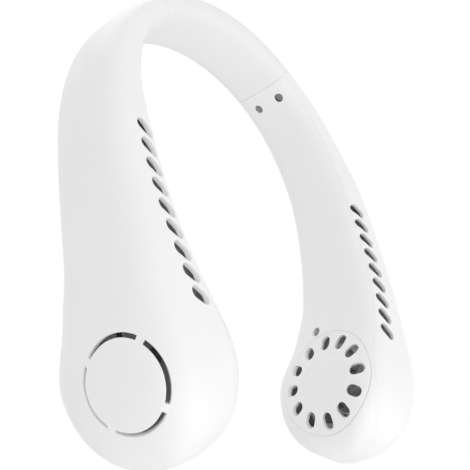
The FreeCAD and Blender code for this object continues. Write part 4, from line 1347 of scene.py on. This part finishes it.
@dataclass
class NeckBand(SubAssembly):
    """Soft band over the crown, with tongues, spring and cable, in two halves."""

    seam_gap: float = 0.06
    edge: float = 0.2
    columns: int = 128
    crown_runs: tuple[float, ...] = (0.0, 0.1, 0.4, 1.0)
    even_from: float = 2.0
    rows: int = 40
    end_insets: tuple[float, float] = (3.0, 6.0)
    tongue_length: float = 12.0
    tongue_overlap: float = 1.0
    tongue_thickness: float = 4.6
    tongue_width: float = 22.0
    tongue_power: float = 12.0
    tongue_rows: int = 14
    tongue_points: int = 64
    spring_width: float = 6.0
    spring_thickness: float = 0.5
    spring_inside: float = 1.3
    cable_radius: float = 0.8
    cable_outside: float = 0.9
    cable_past_tongue: float = 2.0
    cable_points: int = 24
    strip_rows: int = 60

    def half(self, side: Side) -> bpy.types.Object:
        """One half: the seam's section carried along the arch, with a rounded end and closed faces.

        Args:
            side: half of the loop.

        Returns:
            The mounted piece.
        """
        end = FORM.seam_at - self.seam_gap
        run = np.concatenate([self.crown_runs, np.linspace(self.even_from, end - self.edge, self.rows)])
        angle = QUARTER_ROUND[1:]
        runs = np.concatenate([run, end - self.edge * (1 - np.sin(angle)), [end, end]])
        insets = np.concatenate([np.zeros(len(run)), self.edge * (1 - np.cos(angle)), self.end_insets])
        turn = 2 * np.pi * np.arange(self.columns) / self.columns
        patch = Patch()
        start = patch.add(np.zeros(self.columns), turn, np.array(self.end_insets[-1]))
        numbers = patch.add(runs[:, None], turn[None, :], insets[:, None])
        patch.strips([start, *numbers], True)
        piece = patch_object(side.prefix + "_band_half", patch, side)
        return self.bend(piece, side, "neck_band", "soft_band")

    def tongue(self, side: Side) -> bpy.types.Object:
        """Flat tongue that holds the band in its arm: a section |u|^p + |v|^p = 1 of high power on the arch.

        Args:
            side: half of the loop.

        Returns:
            The mounted piece.
        """
        angle = 2 * np.pi * np.arange(self.tongue_points) / self.tongue_points
        c, s = np.cos(angle), np.sin(angle)
        reach = (np.abs(c) ** self.tongue_power + np.abs(s) ** self.tongue_power) ** (-1 / self.tongue_power)
        profile = np.stack([self.tongue_thickness / 2 * reach * c, self.tongue_width / 2 * reach * s], -1)
        first, last = FORM.seam_at - self.tongue_overlap, FORM.seam_at + self.tongue_length
        run = np.linspace(first, last, self.tongue_rows)
        piece = swept_object(side.prefix + "_band_tongue", run, profile, side)
        return self.bend(piece, side, "neck_band", "soft_band")

    def spring(self, side: Side) -> bpy.types.Object:
        """Half of the flat spring: a thin rectangle along the arch.

        Args:
            side: half of the loop.

        Returns:
            The mounted piece.
        """
        low, high = np.array([-0.5, 0.5]) * self.spring_thickness - self.spring_inside
        aside = self.spring_width / 2
        profile = np.array([[low, -aside], [high, -aside], [high, aside], [low, aside]])
        run = np.linspace(0.0, FORM.seam_at + self.tongue_length, self.strip_rows)
        piece = swept_object(side.prefix + "_spring_half", run, profile, side)
        return self.bend(piece, side, "band_spring", "bright_steel")

    def cable(self, side: Side) -> bpy.types.Object:
        """Half of the cable in the band: a circle along the arch.

        Args:
            side: half of the loop.

        Returns:
            The mounted piece.
        """
        angle = 2 * np.pi * np.arange(self.cable_points) / self.cable_points
        circle = np.stack([np.cos(angle), np.sin(angle)], -1) * self.cable_radius
        last = FORM.seam_at + self.tongue_length + self.cable_past_tongue
        run = np.linspace(0.0, last, self.strip_rows)
        profile = circle + np.array([self.cable_outside, 0.0])
        piece = swept_object(side.prefix + "_cable_half", run, profile, side)
        return self.bend(piece, side, "band_cable", "lead_jacket")

    def bend(self, piece: bpy.types.Object, side: Side, node: str, slot: str) -> bpy.types.Object:
        """Puts a piece, with its transform applied, in place of its node.

        Args:
            piece: piece that is mounted.
            side: half of the loop.
            node: node that it stands for.
            slot: material slot that it is finished from.

        Returns:
            The same piece.
        """
        seam = FORM.path(np.array(FORM.seam_at))[0] * np.array([side.sign, 1.0, 1.0]) * MILLIMETRE
        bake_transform(piece)
        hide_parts(node)
        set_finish(piece, slot)
        return piece

    def build(self) -> None:
        """Makes both halves, with their tongues, springs and cables."""
        makers = (self.half, self.tongue, self.spring, self.cable)
        self.pieces = [maker(side) for side in Side for maker in makers]


@dataclass
class FrameNodes(SubAssembly):
    """The frame's own nodes: those that new pieces stand for, and all others, which keep their meshes."""

    def build(self) -> None:
        """Takes the nodes from the frame."""
        self.pieces = [frame["nodes"][part["node"]] for part in frame["record"]["subparts"]]

    def dress(self, palette: Palette) -> None:
        """Puts the finish that the record names on every node."""
        for piece, part in zip(self.pieces, frame["record"]["subparts"]):
            palette.paint(piece, part["material_slot"])


@dataclass(frozen=True)
class SoftLamp:
    """Large area lamp that looks at a point."""

    name: str
    place: tuple[float, float, float]
    target: tuple[float, float, float]
    size: float
    energy: float

    def build(self) -> None:
        """Links the lamp, which the camera doesn't see, to the scene."""
        data = bpy.data.lights.new(self.name, "AREA")
        data.shape = "DISK"
        data.size = self.size
        data.energy = self.energy
        lamp = bpy.data.objects.new(self.name, data)
        bpy.context.scene.collection.objects.link(lamp)
        lamp.location = self.place
        lamp.visible_camera = False
        lamp.rotation_euler = (Vector(self.target) - Vector(self.place)).to_track_quat("-Z", "Y").to_euler()


@dataclass
class Studio:
    """Floor, white surroundings, soft lamps and the camera at the photograph's angle."""

    floor_height: float = -0.42
    floor_reach: float = 12.0
    ambient: float = 0.88
    lamps: tuple[SoftLamp, ...] = (
        SoftLamp("front_lamp", (-0.05, -0.90, -0.12), (0.0, 0.0, -0.10), 0.5, 0.4),
        SoftLamp("top_lamp", (0.10, 0.20, 0.95), (0.0, 0.0, -0.05), 0.8, 1.0),
        SoftLamp("low_lamp", (0.0, -0.10, -0.41), (0.0, 0.0, -0.05), 0.8, 0.95),
    )
    sensor: float = 36.0
    picture_width: float = 470.0
    focal_pixels: float = 787.14
    near_clip: float = 0.01
    camera_place: tuple[float, float, float] = (-0.24609, -0.19011, -0.22337)
    camera_right: tuple[float, float, float] = (0.6528, -0.74198, -0.1527)
    camera_up: tuple[float, float, float] = (-0.18943, -0.35506, 0.91545)
    camera_ahead: tuple[float, float, float] = (0.73347, 0.56867, 0.37234)

    def floor(self) -> bpy.types.Object:
        """Plain pale floor under the object.

        Returns:
            The floor.
        """
        mesh = bpy.data.meshes.new("floor")
        reach = self.floor_reach
        corners = [(-reach, -reach), (reach, -reach), (reach, reach), (-reach, reach)]
        mesh.from_pydata([(x, y, self.floor_height) for x, y in corners], [], [(0, 1, 2, 3)])
        floor = bpy.data.objects.new("floor", mesh)
        bpy.context.scene.collection.objects.link(floor)
        return floor

    def surroundings(self) -> None:
        """Sets a world that is plain white to the camera, in reflections and through clear pieces.

        To all other rays it is an even soft light.
        """
        world = bpy.data.worlds.new("studio")
        world.use_nodes = True
        nodes, links = world.node_tree.nodes, world.node_tree.links
        light = nodes["Background"]
        light.inputs["Color"].default_value = (1.0, 1.0, 1.0, 1.0)
        light.inputs["Strength"].default_value = self.ambient
        white = nodes.new("ShaderNodeBackground")
        white.inputs["Color"].default_value = (1.0, 1.0, 1.0, 1.0)
        white.inputs["Strength"].default_value = 1.0
        rays = nodes.new("ShaderNodeLightPath")
        seen = nodes.new("ShaderNodeMath")
        seen.operation = "MAXIMUM"
        through = nodes.new("ShaderNodeMath")
        through.operation = "MAXIMUM"
        mix = nodes.new("ShaderNodeMixShader")
        links.new(rays.outputs["Is Camera Ray"], seen.inputs[0])
        links.new(rays.outputs["Is Glossy Ray"], seen.inputs[1])
        links.new(seen.outputs["Value"], through.inputs[0])
        links.new(rays.outputs["Is Transmission Ray"], through.inputs[1])
        links.new(through.outputs["Value"], mix.inputs["Fac"])
        links.new(light.outputs["Background"], mix.inputs[1])
        links.new(white.outputs["Background"], mix.inputs[2])
        links.new(mix.outputs["Shader"], nodes["World Output"].inputs["Surface"])
        bpy.context.scene.world = world

    def camera(self) -> None:
        """Sets up the camera in front of the right arm and below the pods, looking up and across."""
        data = bpy.data.cameras.new("camera")
        data.sensor_width = self.sensor
        data.lens = self.sensor * self.focal_pixels / self.picture_width
        data.clip_start = self.near_clip
        camera = bpy.data.objects.new("camera", data)
        bpy.context.scene.collection.objects.link(camera)
        axes = (Vector(self.camera_right), Vector(self.camera_up), -Vector(self.camera_ahead))
        pose = Matrix(axes).transposed().to_4x4()
        pose.translation = Vector(self.camera_place)
        camera.matrix_world = pose
        bpy.context.scene.camera = camera

    def build(self, palette: Palette) -> None:
        """Sets the stage, with the shells' white on the floor.

        Args:
            palette: finishes for the floor.
        """
        palette.paint(self.floor(), "white_shell")
        self.surroundings()
        for lamp in self.lamps:
            lamp.build()
        self.camera()
        bpy.context.scene.view_settings.view_transform = "Standard"


def main() -> None:
    """Builds and dresses the sub-assemblies in order, reports their pieces and sets the stage."""
    logging.basicConfig(level=logging.INFO, format="%(name)s: %(message)s")
    palette = Palette()
    for assembly in (ArmShells(Side.LEFT), ArmShells(Side.RIGHT), NeckBand(), FrameNodes()):
        assembly.build()
        assembly.dress(palette)
        for piece in assembly.pieces:
            LOG.info("%s: %d faces", piece.name, len(piece.data.polygons))
    Studio().build(palette)


if __name__ == "__main__":
    main()
